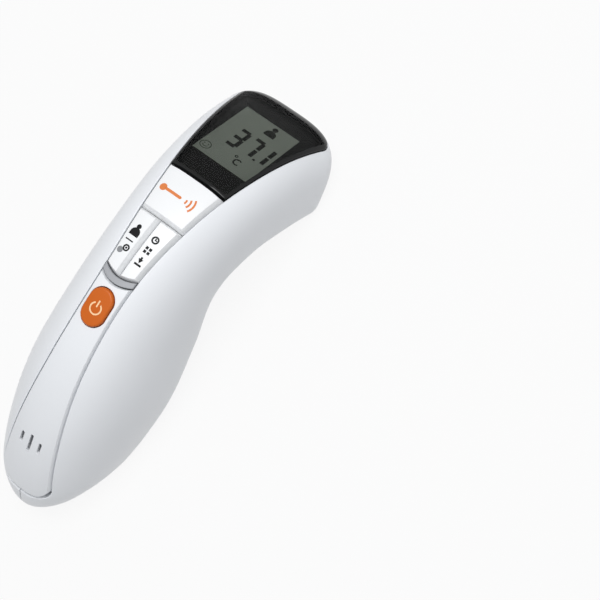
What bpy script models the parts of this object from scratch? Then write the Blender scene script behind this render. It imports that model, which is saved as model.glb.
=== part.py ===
"""Curved hand-held infrared thermometer with a clamshell housing.

Frame: +X from tail to head, +Y to the left, +Z up.  The part stands like an arch on the heel of the
handle and on the lower edge of the head, with z = 0 at the surface it stands on.

The outer form is lofted along a crown line.  A place on it is a station s, measured along that line
from the tail end of the control panel, a lateral distance y, and a depth t below the crown.
"""
from math import cos, pi, radians, sin, sqrt

import bmesh
import bpy
import numpy as np
from mathutils import Matrix, Vector

# ---------------------------------------------------------------- clearances and walls
GAP = 0.0003                 # between pieces that meet
WALL = 0.0020                # housing wall
TRAVEL = 0.0005              # stroke of every key

# ---------------------------------------------------------------- crown line, a cubic Bezier in XZ
CROWN_TAIL = (-0.07033, 0.0180)
CROWN_TAIL_PULL = (-0.04483, 0.0517)
CROWN_HEAD_PULL = (0.03177, 0.0766)
CROWN_HEAD = (0.07177, 0.0170)

# ---------------------------------------------------------------- cross-sections along the crown line
# station, half width, depth from crown to widest line, depth of the keel below it, squareness
SECTIONS = (
    (0.000, 0.0166, 0.0247, 0.0072, 2.40),
    (0.020, 0.0190, 0.0308, 0.0095, 2.40),
    (0.045, 0.0204, 0.0336, 0.0110, 2.40),
    (0.075, 0.0190, 0.0318, 0.0110, 2.40),
    (0.100, 0.0178, 0.0242, 0.0095, 2.50),
    (0.125, 0.0187, 0.0232, 0.0085, 3.00),
    (0.145, 0.0199, 0.0236, 0.0082, 3.40),
    (0.165, 0.0212, 0.0226, 0.0080, 3.40),
)
KEEL_SQUARENESS = 2.6
CROWN_POINTS = 14            # spans of a section above its widest line, and below it
KEEL_POINTS = 8

HEEL_START = 0.008           # station where the tail begins to close
HEEL_LENGTH = 0.016
HEEL_ROUNDNESS = 2.4
HEEL_CORE = 0.0025           # depth of the point that the tail closes on

BODY_LENGTH = 0.1645         # station where the nose begins to roll over
NOSE_LENGTH = 0.0060
NOSE_TOP_ROLL = 0.0026
NOSE_SIDE_ROLL = 0.0032
NOSE_BOTTOM_ROLL = 0.0030

# ---------------------------------------------------------------- strip of controls on the crown
# station, half width of the opening that panel, keys and window share
STRIP = (
    (0.000, 0.0101),
    (0.025, 0.0085),
    (0.055, 0.0062),
    (0.085, 0.0059),
    (0.110, 0.0086),
    (0.135, 0.0124),
    (0.165, 0.0168),
)
STRIP_END_RADIUS = 0.0060    # rounding of the strip's tail end
PANEL_PROUD = 0.0003
FLANGE_REACH = 0.0013        # how far flanges run under the housing edge
FLANGE_THICKNESS = 0.0008
FLANGE_STEP = 0.0002         # flanges start this far behind the edge they run from

# Window, measure key, side keys, grey arc and power button follow each other toward the tail.
WINDOW_STATION = 0.1212
MEASURE_KEY_LENGTH = 0.0163
SIDE_KEY_LENGTH = 0.0181
FRAME_ARC_WIDTH = 0.0020
ARC_SAG = 0.0020             # the arc bows this far toward the tail
POWER_SPACING = 0.0102       # from the arc to the middle of the power button
MEASURE_STATION = WINDOW_STATION - MEASURE_KEY_LENGTH
KEYS_STATION = MEASURE_STATION - SIDE_KEY_LENGTH
FRAME_ARC_STATION = KEYS_STATION - GAP - FRAME_ARC_WIDTH
POWER_STATION = FRAME_ARC_STATION - POWER_SPACING

KEY_PROUD = 0.0010
KEY_CHAMFER = 0.0011
WINDOW_THICKNESS = 0.0015
WINDOW_LEDGE = 0.0014        # width of the ledge under the window's edge
LEDGE_THICKNESS = 0.0010     # the ledge's rim below the wall
LIGHT_FRONT = 0.1660         # station where the opening under the window ends
WINDOW_FRONT = 0.1700        # station of the window's front lip
WINDOW_SIDE_ROLL = 0.0070    # how much the window narrows over the nose

POWER_HALF_LENGTH = 0.0060
POWER_HALF_WIDTH = 0.0039
POWER_PROUD = 0.0011

SLOTS = ((0.0247, 0.0034, 0.0040), (0.0245, 0.0000, 0.0068), (0.0247, -0.0034, 0.0040))
SLOT_WIDTH = 0.0009

# ---------------------------------------------------------------- display
DISPLAY_STATION = 0.1453
DISPLAY_DEPTH = 0.0043       # glass below the crown
GLASS_HALF = (0.0141, 0.0103)
GLASS_THICKNESS = 0.0020
HOLDER_TAIL = 0.0155
HOLDER_HEAD = 0.0112
CONNECTOR_X = 0.0126           # the connector lies this far tailward of the display's middle
CONNECTOR_WIDTH = 0.0020
CONNECTOR_HALF = 0.0088
HOLDER_BAR = 0.0013
HOLDER_HEIGHT = 0.0026
BOARD_THICKNESS = 0.0010
DISPLAY_BOARD_TAIL = 0.0180
DISPLAY_BOARD_HEAD = 0.0092
DISPLAY_BOARD_HALF = 0.0130

# ---------------------------------------------------------------- key and main boards, switches
KEY_BOARD_STATION = MEASURE_STATION - 0.0009
KEY_BOARD_TAIL = 0.0148
KEY_BOARD_HEAD = 0.0150
KEY_BOARD_HALF = 0.0110
KEY_BOARD_DEPTH = 0.0108
MEASURE_SWITCH_X = 0.0090
SIDE_SWITCH = (-0.0085, 0.0038)
MAIN_BOARD_TAIL = 0.0240
MAIN_BOARD_HEAD = 0.0100
MAIN_BOARD_HALF = 0.0100
MAIN_BOARD_DEPTH = 0.0105
SWITCH_SIDE = 0.0060
SWITCH_HEIGHT = 0.0024
STEM_RADIUS = 0.00095
STEM_RISE = 0.0011
STEM_SEAT = 0.0009
PLUNGER_RADIUS = 0.0015
PROCESSOR_X = -0.0030
PROCESSOR_SIZE = (0.0070, 0.0070, 0.0012)
RADIO_X = -0.0135
RADIO_SIZE = (0.0090, 0.0075, 0.0016)
FLEX_WIDTH = 0.0070
FLEX_THICKNESS = 0.0003
FLEX_END = 0.0030            # how far a flex reaches under a board
FLEX_SAG = 0.0030            # how far it hangs between two boards
WIRE_RADIUS = 0.0006
WIRE_BOARD_Y = MAIN_BOARD_HALF - 0.0030    # where the battery leads meet the main board
BATTERY_WIRE_X = 0.0045
BUZZER_WIRE_Y = 0.0020
BUZZER_WIRE_X = -0.0215
BOARD_SLOT_RIB = 0.0016
BOARD_LAP = 0.0012           # how far the ribs reach over a board's edge
MAIN_BOARD_RIBS = (-0.0170, 0.0040)
KEY_BOARD_RIBS = (-0.0125, 0.0080)
DISPLAY_BOARD_RIBS = (-0.0150, 0.0070)

# ---------------------------------------------------------------- buzzer behind the slots
BUZZER_RADIUS = 0.0062
BUZZER_HEIGHT = 0.0030
BUZZER_DEPTH = 0.0036

# ---------------------------------------------------------------- nose and sensor, along the nose axis
NOSE_AXIS_DEPTH = 0.0140
NOSE_HOLE_RADIUS = 0.0068
NOSE_FLANGE_RADIUS = 0.0077
NOSE_PROUD = 0.0008
HOLDER_RADIUS = 0.0050
HOLDER_LENGTH = 0.0062
CAN_RADIUS = 0.0024
CAN_FLANGE = 0.0004
CAN_LENGTH = 0.0028
CAN_FRONT = -0.0018          # front of the can along the nose axis

# ---------------------------------------------------------------- battery bay, two AAA cells
BAY_CENTRE = (-0.0168, 0.0172)
BAY_TILT = radians(20.0)
CELL_RADIUS = 0.00525
CELL_LENGTH = 0.0445
CELL_NUB = 0.0010
CELL_SPACING = 0.0108
CONTACT_THICKNESS = 0.0004
SPRING_LENGTH = 0.0041
COIL_WIRE = 0.0003           # radius of the spring wire
COIL_FOOT = 0.0027
COIL_TIP = 0.0016
PLATE_HALF = 0.0040
PLATE_BOTTOM = -0.0036
PLATE_TOP = 0.0038
TAB_HALF = 0.0010            # solder tabs of the two single contacts
TAB_RISE = 0.0015
TRAY_WALL = 0.0012
TRAY_RIM = 0.0040            # the tray's walls end this far below the cell centres
DOOR_TAIL = 0.0240
DOOR_HEAD = 0.0245
DOOR_HALF = 0.0108
DOOR_CEILING = -0.0062        # the door stays below this height of the bay's frame
DOOR_LIFT = 0.0002           # the door clears what the part stands on
DOOR_RIB = 0.0012
DOOR_RIB_HALF = 0.0080
DOOR_RIBS = (-0.0120, 0.0, 0.0120)
GROOVES = (0.0690, 0.0715, 0.0740)
GROOVE_RADIUS = 0.0011
GROOVE_DEPTH = 0.0005
GROOVE_HALF = 0.0050
HOOK_WIDTH = 0.0040
HOOK_OFFSET = 0.0060

# ---------------------------------------------------------------- housing screws: station, depth
SCREWS = ((0.014, 0.0120), (POWER_STATION - 0.0223, MAIN_BOARD_DEPTH + 0.0045),
          (KEY_BOARD_STATION - 0.0040, KEY_BOARD_DEPTH + 0.0112), (0.140, 0.0210))
SCREW_RADIUS = 0.00095
SCREW_HEAD_RADIUS = 0.0020
SCREW_HEAD_SEAT = 0.0050     # lateral distance of the head's seat in the left boss
SCREW_HEAD_HEIGHT = 0.0015
SCREW_REACH = 0.0080
BOSS_WALL = 0.0013
OUTSIDE = 0.0300             # lateral distance past the housing's skin


# ================================================================ form of the body
def smooth(table, column, s):
    """Value of a column of a (station, ...) table at station s, on a Catmull-Rom curve."""
    stations = [row[0] for row in table]
    values = [row[column] for row in table]
    s = min(max(s, stations[0]), stations[-1])
    i = min(max(int(np.searchsorted(stations, s)) - 1, 0), len(table) - 2)

    def slope(j):
        low, high = max(j - 1, 0), min(j + 1, len(table) - 1)
        return (values[high] - values[low]) / (stations[high] - stations[low])

    span = stations[i + 1] - stations[i]
    u = (s - stations[i]) / span
    return ((2 * u**3 - 3 * u**2 + 1) * values[i] + (u**3 - 2 * u**2 + u) * span * slope(i)
            + (3 * u**2 - 2 * u**3) * values[i + 1] + (u**3 - u**2) * span * slope(i + 1))


def crown_table(samples=600):
    """Arc length, x, z and heading along the crown line."""
    u = np.linspace(0.0, 1.0, samples)[:, None]
    p0, p1, p2, p3 = (np.array(p) for p in (CROWN_TAIL, CROWN_TAIL_PULL, CROWN_HEAD_PULL, CROWN_HEAD))
    line = (1 - u)**3 * p0 + 3 * (1 - u)**2 * u * p1 + 3 * (1 - u) * u**2 * p2 + u**3 * p3
    rate = 3 * (1 - u)**2 * (p1 - p0) + 6 * (1 - u) * u * (p2 - p1) + 3 * u**2 * (p3 - p2)
    steps = np.linalg.norm(np.diff(line, axis=0), axis=1)
    length = np.concatenate([[0.0], np.cumsum(steps)])
    return length, line[:, 0], line[:, 1], np.arctan2(rate[:, 1], rate[:, 0])


CROWN = crown_table()


def crown(s):
    """x, z and heading of the crown line at station s; it runs on straight past its ends."""
    length, xs, zs, headings = CROWN
    inside = min(max(s, 0.0), length[-1])
    heading = float(np.interp(inside, length, headings))
    x = float(np.interp(inside, length, xs)) + (s - inside) * cos(heading)
    z = float(np.interp(inside, length, zs)) + (s - inside) * sin(heading)
    return x, z, heading


def place(s, y, depth):
    """World point at station s, lateral y and depth below the crown."""
    x, z, heading = crown(s)
    return Vector((x + depth * sin(heading), y, z - depth * cos(heading)))


def profile(s, inset=0.0):
    """Half width, crown depth, keel depth, squareness and top of the section at s."""
    width, rise, keel, square = (smooth(SECTIONS, column, s) for column in (1, 2, 3, 4))
    top = 0.0
    closing = (HEEL_START + inset - s) / HEEL_LENGTH
    if closing > 0.0:
        share = (1.0 - min(closing, 1.0)**HEEL_ROUNDNESS)**(1.0 / HEEL_ROUNDNESS)
        top = HEEL_CORE * (1.0 - share)
        width, rise, keel = width * share, rise * share, keel * share
    roll = (s + inset - BODY_LENGTH) / NOSE_LENGTH
    if roll > 0.0:
        fall = 1.0 - sqrt(1.0 - min(roll, 1.0)**2)
        top += NOSE_TOP_ROLL * fall
        rise -= NOSE_TOP_ROLL * fall
        width -= NOSE_SIDE_ROLL * fall
        keel -= NOSE_BOTTOM_ROLL * fall
    return width - inset, rise - inset, keel - inset, square, top + inset


def skin_depth(s, y, inset=0.0):
    """Depth of the outer skin, or of the skin inset by a wall, under lateral y."""
    width, rise, _, square, top = profile(s, inset)
    share = min(abs(y) / width, 0.995)
    return top + rise * (1.0 - (1.0 - share**square)**(1.0 / square))


def section_ring(s, inset=0.0):
    """Closed ring of points round the body at station s."""
    width, rise, keel, square, top = profile(s, inset)
    ring = []
    turns = [pi * i / CROWN_POINTS for i in range(CROWN_POINTS)]
    turns += [pi + pi * i / KEEL_POINTS for i in range(KEEL_POINTS)]
    for turn in turns:
        power = 2.0 / (square if sin(turn) > 0.0 else KEEL_SQUARENESS)
        side = abs(cos(turn))**power * (1.0 if cos(turn) > 0.0 else -1.0)
        lift = abs(sin(turn))**power
        depth = top + rise * (1.0 - lift) if sin(turn) > 0.0 else top + rise + keel * lift
        ring.append(place(s, width * side, depth))
    return ring


def strip_half(s):
    """Half width of the strip opening, rounded at the tail and drawn in over the nose."""
    half = smooth(STRIP, 1, s)
    if s < STRIP_END_RADIUS:
        half -= STRIP_END_RADIUS - sqrt(STRIP_END_RADIUS**2 - (STRIP_END_RADIUS - s)**2)
    if s > BODY_LENGTH:
        half -= WINDOW_SIDE_ROLL * (1.0 - sqrt(1.0 - min((s - BODY_LENGTH) / NOSE_LENGTH, 1.0)**2))
    return half


# ================================================================ building meshes
def material(name, colour, roughness, metallic=0.0):
    """Principled material; colour is linear RGB."""
    made = bpy.data.materials.new(name)
    made.use_nodes = True
    shader = made.node_tree.nodes["Principled BSDF"]
    shader.inputs["Base Color"].default_value = (*colour, 1.0)
    shader.inputs["Roughness"].default_value = roughness
    shader.inputs["Metallic"].default_value = metallic
    return made


def is_flat(face):
    """Whether a face's corners all lie in one plane."""
    face.normal_update()
    corner = face.verts[0].co
    return all(abs((vert.co - corner).dot(face.normal)) < 1e-8 for vert in face.verts)


def to_object(name, mesh_builder):
    """Object at the world origin made from a bmesh: flat faces only, pointing outward."""
    bent = [face for face in mesh_builder.faces if not is_flat(face)]
    bmesh.ops.triangulate(mesh_builder, faces=bent)
    bmesh.ops.recalc_face_normals(mesh_builder, faces=mesh_builder.faces)
    mesh = bpy.data.meshes.new(name)
    mesh_builder.to_mesh(mesh)
    mesh_builder.free()
    made = bpy.data.objects.new(name, mesh)
    bpy.context.scene.collection.objects.link(made)
    return made


def loft(name, rings):
    """Closed solid through rings with equally many points."""
    build = bmesh.new()
    loops = [[build.verts.new(point) for point in ring] for ring in rings]
    count = len(loops[0])
    for near, far in zip(loops, loops[1:]):
        for i in range(count):
            j = (i + 1) % count
            build.faces.new((near[i], near[j], far[j], far[i]))
    build.faces.new(loops[0])
    build.faces.new(loops[-1])
    return to_object(name, build)


def box(name, frame, xs, ys, zs):
    """Box between two values on each axis of a frame."""
    corners = [(x, y) for x, y in ((xs[0], ys[0]), (xs[1], ys[0]), (xs[1], ys[1]), (xs[0], ys[1]))]
    return loft(name, [[frame @ Vector((x, y, z)) for x, y in corners] for z in zs])


def cylinder(name, frame, centre, radius, zs, segments=24):
    """Cylinder along the frame's Z, centred on an (x, y) of the frame."""
    rings = []
    for z in zs:
        turns = [2.0 * pi * i / segments for i in range(segments)]
        rings.append([frame @ Vector((centre[0] + radius * cos(t), centre[1] + radius * sin(t), z))
                      for t in turns])
    return loft(name, rings)


def turned(name, frame, outline, segments=32):
    """Solid turned about the frame's X axis from a closed outline of (x, radius) points."""
    build = bmesh.new()
    points = [build.verts.new((x, 0.0, radius)) for x, radius in outline]
    edges = [build.edges.new((points[i], points[(i + 1) % len(points)])) for i in range(len(points))]
    bmesh.ops.spin(build, geom=points + edges, cent=(0, 0, 0), axis=(1, 0, 0), dvec=(0, 0, 0),
                   angle=2.0 * pi, steps=segments, use_merge=True, use_duplicate=False)
    bmesh.ops.remove_doubles(build, verts=build.verts, dist=1e-7)
    bmesh.ops.delete(build, geom=[e for e in build.edges if not e.link_faces], context="EDGES")
    bmesh.ops.transform(build, matrix=frame, verts=build.verts)
    return to_object(name, build)


def skin_solid(name, tail, head, right, left, layers, rows, columns):
    """Solid laid on the body's skin.

    tail and head give the end stations at a lateral distance, right and left give the edges at a
    station.  A layer is (tail, head, right, left margins, inset, depth): its outline is drawn in by
    the margins and lies at that depth under the outer skin, or under the skin inset by a wall.
    The depth may be a function of the station.
    """
    build = bmesh.new()
    grids = []
    for from_tail, from_head, from_right, from_left, inset, depth in layers:

        def across(s, v):
            low = right(s) + from_right
            high = left(s) - from_left
            return low + (high - low) * (v + 1.0) / 2.0

        grid = []
        for u in rows:
            row = []
            for v in columns:
                start = tail(across(tail(0.0), v)) + from_tail
                end = head(across(head(0.0), v)) - from_head
                s = start + (end - start) * u
                y = across(s, v)
                below = depth(s) if callable(depth) else depth
                row.append(build.verts.new(place(s, y, skin_depth(s, y, inset) + below)))
            grid.append(row)
        grids.append(grid)

    def outline(grid):
        last = len(grid) - 1
        return (grid[0] + [row[-1] for row in grid[1:last]] + grid[last][::-1]
                + [row[0] for row in grid[last - 1:0:-1]])

    for grid in (grids[0], grids[-1]):
        for near, far in zip(grid, grid[1:]):
            for i in range(len(columns) - 1):
                build.faces.new((near[i], near[i + 1], far[i + 1], far[i]))
    for upper, lower in zip(grids, grids[1:]):
        a, b = outline(upper), outline(lower)
        for i in range(len(a)):
            j = (i + 1) % len(a)
            build.faces.new((a[i], a[j], b[j], b[i]))
    return to_object(name, build)


def stadium_loft(name, frame, layers, arc_steps=6):
    """Loft of stadium outlines; a layer is (growth, z) on the power button's half sizes."""
    rings = []
    for growth, z in layers:
        radius = POWER_HALF_WIDTH + growth
        run = POWER_HALF_LENGTH - POWER_HALF_WIDTH
        ring = []
        for end, start in ((1.0, -pi / 2.0), (-1.0, pi / 2.0)):
            for i in range(arc_steps + 1):
                turn = start + pi * i / arc_steps
                ring.append(frame @ Vector((end * run + radius * cos(turn), radius * sin(turn), z)))
        rings.append(ring)
    return loft(name, rings)


def tube(name, points, radius, sides=5):
    """Round wire through a list of points."""
    rings = []
    for i, point in enumerate(points):
        ahead = (points[min(i + 1, len(points) - 1)] - points[max(i - 1, 0)]).normalized()
        across = ahead.cross(Vector((0.0, 0.0, 1.0)))
        if across.length < 0.2:
            across = ahead.cross(Vector((0.0, 1.0, 0.0)))
        across.normalize()
        up = across.cross(ahead)
        rings.append([point + radius * (cos(2 * pi * k / sides) * across + sin(2 * pi * k / sides) * up)
                      for k in range(sides)])
    return loft(name, rings)


def combine(target, operation, *tools):
    """Run exact Booleans on the target with each tool, and drop the tools."""
    for tool in tools:
        step = target.modifiers.new("combine", "BOOLEAN")
        step.solver = "EXACT"
        step.operation = operation
        step.object = tool
        bpy.context.view_layer.update()
        graph = bpy.context.evaluated_depsgraph_get()
        mesh = bpy.data.meshes.new_from_object(target.evaluated_get(graph))
        target.modifiers.clear()
        spent = [target.data, tool.data]
        target.data = mesh
        bpy.data.objects.remove(tool)
        for old in spent:
            bpy.data.meshes.remove(old)
    return target


def finish(piece, name, finish_material, frame=None):
    """Name the piece, weld what a cut left behind, set its origin, shading and material."""
    build = bmesh.new()
    build.from_mesh(piece.data)
    bmesh.ops.remove_doubles(build, verts=build.verts, dist=1e-7)
    bmesh.ops.triangulate(build, faces=[f for f in build.faces if len(f.verts) > 4])
    build.to_mesh(piece.data)
    build.free()
    piece.name = name
    piece.data.name = name
    if frame is not None:
        piece.data.transform(frame.inverted())
        piece.matrix_world = frame
    piece.data.materials.clear()
    piece.data.materials.append(finish_material)
    piece.data.shade_smooth()
    piece.data.set_sharp_from_angle(angle=radians(32.0))
    return piece


# ================================================================ frames
def station_frame(s, depth=0.0):
    """Frame on the crown at s: X toward the head, Z outward, lowered by depth."""
    heading = crown(s)[2]
    return Matrix.Translation(place(s, 0.0, depth)) @ Matrix.Rotation(-heading, 4, "Y")


def bay_frame():
    """Frame in the middle of the two cells: X along them toward the head."""
    x, z = BAY_CENTRE
    return Matrix.Translation((x, 0.0, z)) @ Matrix.Rotation(-BAY_TILT, 4, "Y")


def side_frame(s, depth):
    """Frame with its Z along world Y, for what runs across the body."""
    return Matrix.Translation(place(s, 0.0, depth)) @ Matrix.Rotation(-pi / 2.0, 4, "X")


WORLD = Matrix.Identity(4)
POWER = station_frame(POWER_STATION)
KEYS = station_frame(KEY_BOARD_STATION)
DISPLAY = station_frame(DISPLAY_STATION)
NOSE = station_frame(BODY_LENGTH, NOSE_AXIS_DEPTH)
BAY = bay_frame()

ACROSS = list(np.linspace(-1.0, 1.0, 7))
HALF_ACROSS = list(np.linspace(-1.0, 1.0, 5))
SEAT = WALL + GAP            # inset of what bears against the wall from inside
FRAME_FLOOR = FLANGE_THICKNESS + TRAVEL + GAP
FRAME_BOTTOM = FRAME_FLOOR + 0.0010
PANEL_HEAD = FRAME_ARC_STATION - GAP
PANEL_STATIONS = [0.0008, 0.0015, 0.0035, 0.0060] + list(np.linspace(0.010, PANEL_HEAD, 10))


def even(count):
    """Evenly spaced shares from 0 to 1."""
    return list(np.linspace(0.0, 1.0, count))


def arc(station):
    """End line of a strip piece: it bows toward the tail from a station at the strip's sides."""
    return lambda y: station - ARC_SAG * (1.0 - (y / strip_half(station))**2)


def straight(station):
    """End line square across the strip."""
    return lambda y: station


def strip_right(s):
    return -strip_half(s) + GAP


def strip_left(s):
    return strip_half(s) - GAP


# ================================================================ materials
WHITE = material("White gloss plastic", (0.86, 0.87, 0.88), 0.25)
KEY_WHITE = material("White key plastic", (0.88, 0.88, 0.88), 0.35)
GREY = material("Grey plastic", (0.40, 0.41, 0.43), 0.45)
ORANGE = material("Orange plastic", (0.63, 0.16, 0.03), 0.35)
BLACK_LENS = material("Black window plastic", (0.012, 0.012, 0.012), 0.08)
GLASS = material("Display glass", (0.10, 0.11, 0.10), 0.15)
BLACK = material("Black plastic", (0.02, 0.02, 0.02), 0.5)
BOARD = material("Circuit board", (0.01, 0.12, 0.05), 0.5)
STEEL = material("Nickel-plated steel", (0.60, 0.60, 0.58), 0.3, 1.0)
ALUMINIUM = material("Aluminium", (0.65, 0.66, 0.68), 0.35, 1.0)
RUBBER = material("Grey elastomer", (0.12, 0.12, 0.13), 0.8)
FILTER = material("Infrared filter", (0.05, 0.03, 0.06), 0.05)
FLEX = material("Flat flex cable", (0.45, 0.22, 0.05), 0.5)
CELL = material("Cell jacket", (0.05, 0.09, 0.22), 0.35)
RED_WIRE = material("Red wire insulation", (0.50, 0.02, 0.02), 0.5)


# ================================================================ housing
def body_solid():
    """The whole outer form, with flats where it stands."""
    heel = [HEEL_START - HEEL_LENGTH * sin(radians(a)) for a in (84, 72, 58, 43, 28, 14)]
    nose = [BODY_LENGTH + NOSE_LENGTH * sin(radians(a)) for a in (22, 44, 67, 90)]
    stations = heel + list(np.linspace(HEEL_START, BODY_LENGTH, 17)) + nose
    body = loft("body", [section_ring(s) for s in stations])
    floor = box("floor", WORLD, (-0.1, 0.1), (-0.04, 0.04), (-0.02, 0.0))
    return combine(body, "DIFFERENCE", floor)


def cavity_solid():
    """The hollow inside the housing."""
    heel = [HEEL_START + WALL - HEEL_LENGTH * sin(radians(a)) for a in (66, 46, 29, 14)]
    nose = [BODY_LENGTH - WALL + NOSE_LENGTH * sin(radians(a)) for a in (35, 65, 90)]
    stations = heel + list(np.linspace(HEEL_START + WALL, BODY_LENGTH - WALL, 18)) + nose
    hollow = loft("cavity", [section_ring(s, WALL) for s in stations])
    floor = box("floor", WORLD, (-0.1, 0.1), (-0.04, 0.04), (-0.02, WALL))
    return combine(hollow, "DIFFERENCE", floor)


def side_box(frame, side, xs, inner, zs):
    """Box from lateral distance inner to outside the body, on one side."""
    return box("rib", frame, xs, sorted((side * inner, side * OUTSIDE)), zs)


def board_rib(frame, side, x, half, zs):
    """Rib that reaches over or under a board's edge."""
    xs = (x - BOARD_SLOT_RIB / 2.0, x + BOARD_SLOT_RIB / 2.0)
    return side_box(frame, side, xs, half - BOARD_LAP, zs)


def rib_below(frame, side, x, half, board_depth):
    under = -board_depth - BOARD_THICKNESS - GAP
    return board_rib(frame, side, x, half, (under - 0.0025, under))


def rib_above(frame, side, x, half, board_depth):
    over = -board_depth + GAP
    return board_rib(frame, side, x, half, (over, over + 0.0010))


def window_rim(side):
    """Thickening of the wall that carries the window's edge, cut back for the display glass."""
    outer = [(lambda s: strip_half(s) - WINDOW_LEDGE), (lambda s: strip_half(s) + 0.0010)]
    edges = outer if side > 0 else [lambda s: -outer[1](s), lambda s: -outer[0](s)]
    rim = skin_solid("rim", straight(WINDOW_STATION + GAP), straight(LIGHT_FRONT + 0.0010), *edges,
                     [(0, 0, 0, 0, WALL, -0.0003), (0, 0, 0, 0, WALL, LEDGE_THICKNESS)],
                     even(12), (-1.0, 0.0, 1.0))
    return combine(rim, "DIFFERENCE", glass_room())


def glass_room():
    """Room for the display glass under the window."""
    length, half = GLASS_HALF
    return box("room", DISPLAY, (-length - GAP, length + GAP), (-half - GAP, half + GAP),
               (-0.014, -DISPLAY_DEPTH + GAP))


def inner_supports(side):
    """What stands up from the inner wall of one half."""
    made = []
    for station, depth in SCREWS:
        radius = SCREW_HEAD_RADIUS + GAP + BOSS_WALL if side > 0 else SCREW_RADIUS + GAP + BOSS_WALL
        ends = sorted((-side * WALL, side * OUTSIDE))
        made.append(cylinder("boss", side_frame(station, depth), (0.0, 0.0), radius, ends, 20))
    tray_half = CELL_SPACING / 2.0 + CELL_RADIUS + GAP + TRAY_WALL
    for x in (-0.0150, 0.0150):
        made.append(side_box(BAY, side, (x - 0.0008, x + 0.0008), tray_half + GAP, (-0.0095, 0.0050)))
        made.append(side_box(BAY, side, (x - 0.0007, x + 0.0007), DOOR_HALF + 0.0007,
                             (-0.0090, -TRAY_RIM - GAP)))
    for x in MAIN_BOARD_RIBS:
        made.append(rib_below(POWER, side, x, MAIN_BOARD_HALF, MAIN_BOARD_DEPTH))
        made.append(rib_above(POWER, side, x, MAIN_BOARD_HALF, MAIN_BOARD_DEPTH))
    for x in KEY_BOARD_RIBS:
        made.append(rib_below(KEYS, side, x, KEY_BOARD_HALF, KEY_BOARD_DEPTH))
        made.append(rib_above(KEYS, side, x, KEY_BOARD_HALF, KEY_BOARD_DEPTH))
    for x in DISPLAY_BOARD_RIBS:
        made.append(rib_below(DISPLAY, side, x, DISPLAY_BOARD_HALF, DISPLAY_BOARD_TOP))
    made.append(window_rim(side))
    cradle = box("cradle", NOSE, (-0.0046, -0.0030), (-OUTSIDE, OUTSIDE), (-0.0110, 0.0050))
    turn = NOSE @ Matrix.Rotation(pi / 2.0, 4, "Y")
    bore = cylinder("bore", turn, (0.0, 0.0), HOLDER_RADIUS + GAP, (-0.010, 0.010), 24)
    made.append(combine(cradle, "DIFFERENCE", bore))
    return made


def strip_opening():
    """Tools that open the housing for panel and keys, and make the window's seat."""
    start, past_nose = -GAP, BODY_LENGTH + NOSE_LENGTH + 0.0010
    stations = [start] + PANEL_STATIONS + list(np.linspace(KEYS_STATION, WINDOW_STATION, 5))
    stations += list(np.linspace(WINDOW_STATION + 1e-5, BODY_LENGTH, 7)) + [0.1658, 0.1672, 0.1688, past_nose]
    seat = WINDOW_THICKNESS + GAP
    recess = skin_solid("recess", straight(start), straight(past_nose),
                        lambda s: -strip_half(max(s, 0.0)), lambda s: strip_half(max(s, 0.0)),
                        [(0, 0, 0, 0, 0, -0.004),
                         (0, 0, 0, 0, 0, lambda s: seat if s > WINDOW_STATION + 5e-6 else 0.0060)],
                        [(s - start) / (past_nose - start) for s in stations], ACROSS)
    light = skin_solid("light", straight(WINDOW_STATION - 0.0010), straight(LIGHT_FRONT),
                       lambda s: WINDOW_LEDGE - strip_half(s), lambda s: strip_half(s) - WINDOW_LEDGE,
                       [(0, 0, 0, 0, 0, 0.0005), (0, 0, 0, 0, WALL, LEDGE_THICKNESS + 0.0010)],
                       even(12), ACROSS)
    return recess, light


def door_region(margin):
    """Straight-sided block that marks the battery door's outline through the wall."""
    return box("door region", BAY, (-DOOR_TAIL - margin, DOOR_HEAD + margin),
               (-DOOR_HALF - margin, DOOR_HALF + margin), (-0.0300, DOOR_CEILING + margin))


def housing(side):
    """One half of the clamshell; side is 1 for left, -1 for right."""
    hollow = combine(cavity_solid(), "DIFFERENCE", *inner_supports(side))
    shell = body_solid()
    far_side = box("far side", WORLD, (-0.1, 0.1), sorted((side * GAP / 2.0, -side * 0.05)), (-0.02, 0.1))
    combine(shell, "DIFFERENCE", far_side, hollow, *strip_opening(), glass_room(), door_region(GAP))
    along_nose = NOSE @ Matrix.Rotation(pi / 2.0, 4, "Y")
    combine(shell, "DIFFERENCE",
            cylinder("nose hole", along_nose, (0, 0), NOSE_HOLE_RADIUS, (-WALL, 2.0 * NOSE_LENGTH), 28))
    shank, head = SCREW_RADIUS + GAP, SCREW_HEAD_RADIUS + GAP
    for station, depth in SCREWS:
        frame = side_frame(station, depth)
        if side > 0:
            tools = [cylinder("shank", frame, (0, 0), shank, (-0.001, 2.0 * SCREW_HEAD_SEAT), 16),
                     cylinder("recess", frame, (0, 0), head, (SCREW_HEAD_SEAT, OUTSIDE), 20)]
        else:
            tools = [cylinder("pilot", frame, (0, 0), shank, (-SCREW_REACH - 0.001, 0.001), 16)]
        combine(shell, "DIFFERENCE", *tools)
    return finish(shell, "housing_left" if side > 0 else "housing_right", WHITE)


# ================================================================ strip: panel, keys, window
def capped(proud, chamfer, right_reach, left_reach):
    """Layers of a piece with a chamfered face and a flange under the housing edge."""
    step = FLANGE_STEP
    return [
        (chamfer, chamfer, chamfer, chamfer, 0.0, -proud),
        (0.0, 0.0, 0.0, 0.0, 0.0, 0.0001),
        (0.0, 0.0, 0.0, 0.0, SEAT, 0.0),
        (step, step, -right_reach, -left_reach, SEAT, 0.0),
        (step, step, -right_reach, -left_reach, SEAT, FLANGE_THICKNESS),
    ]


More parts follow.
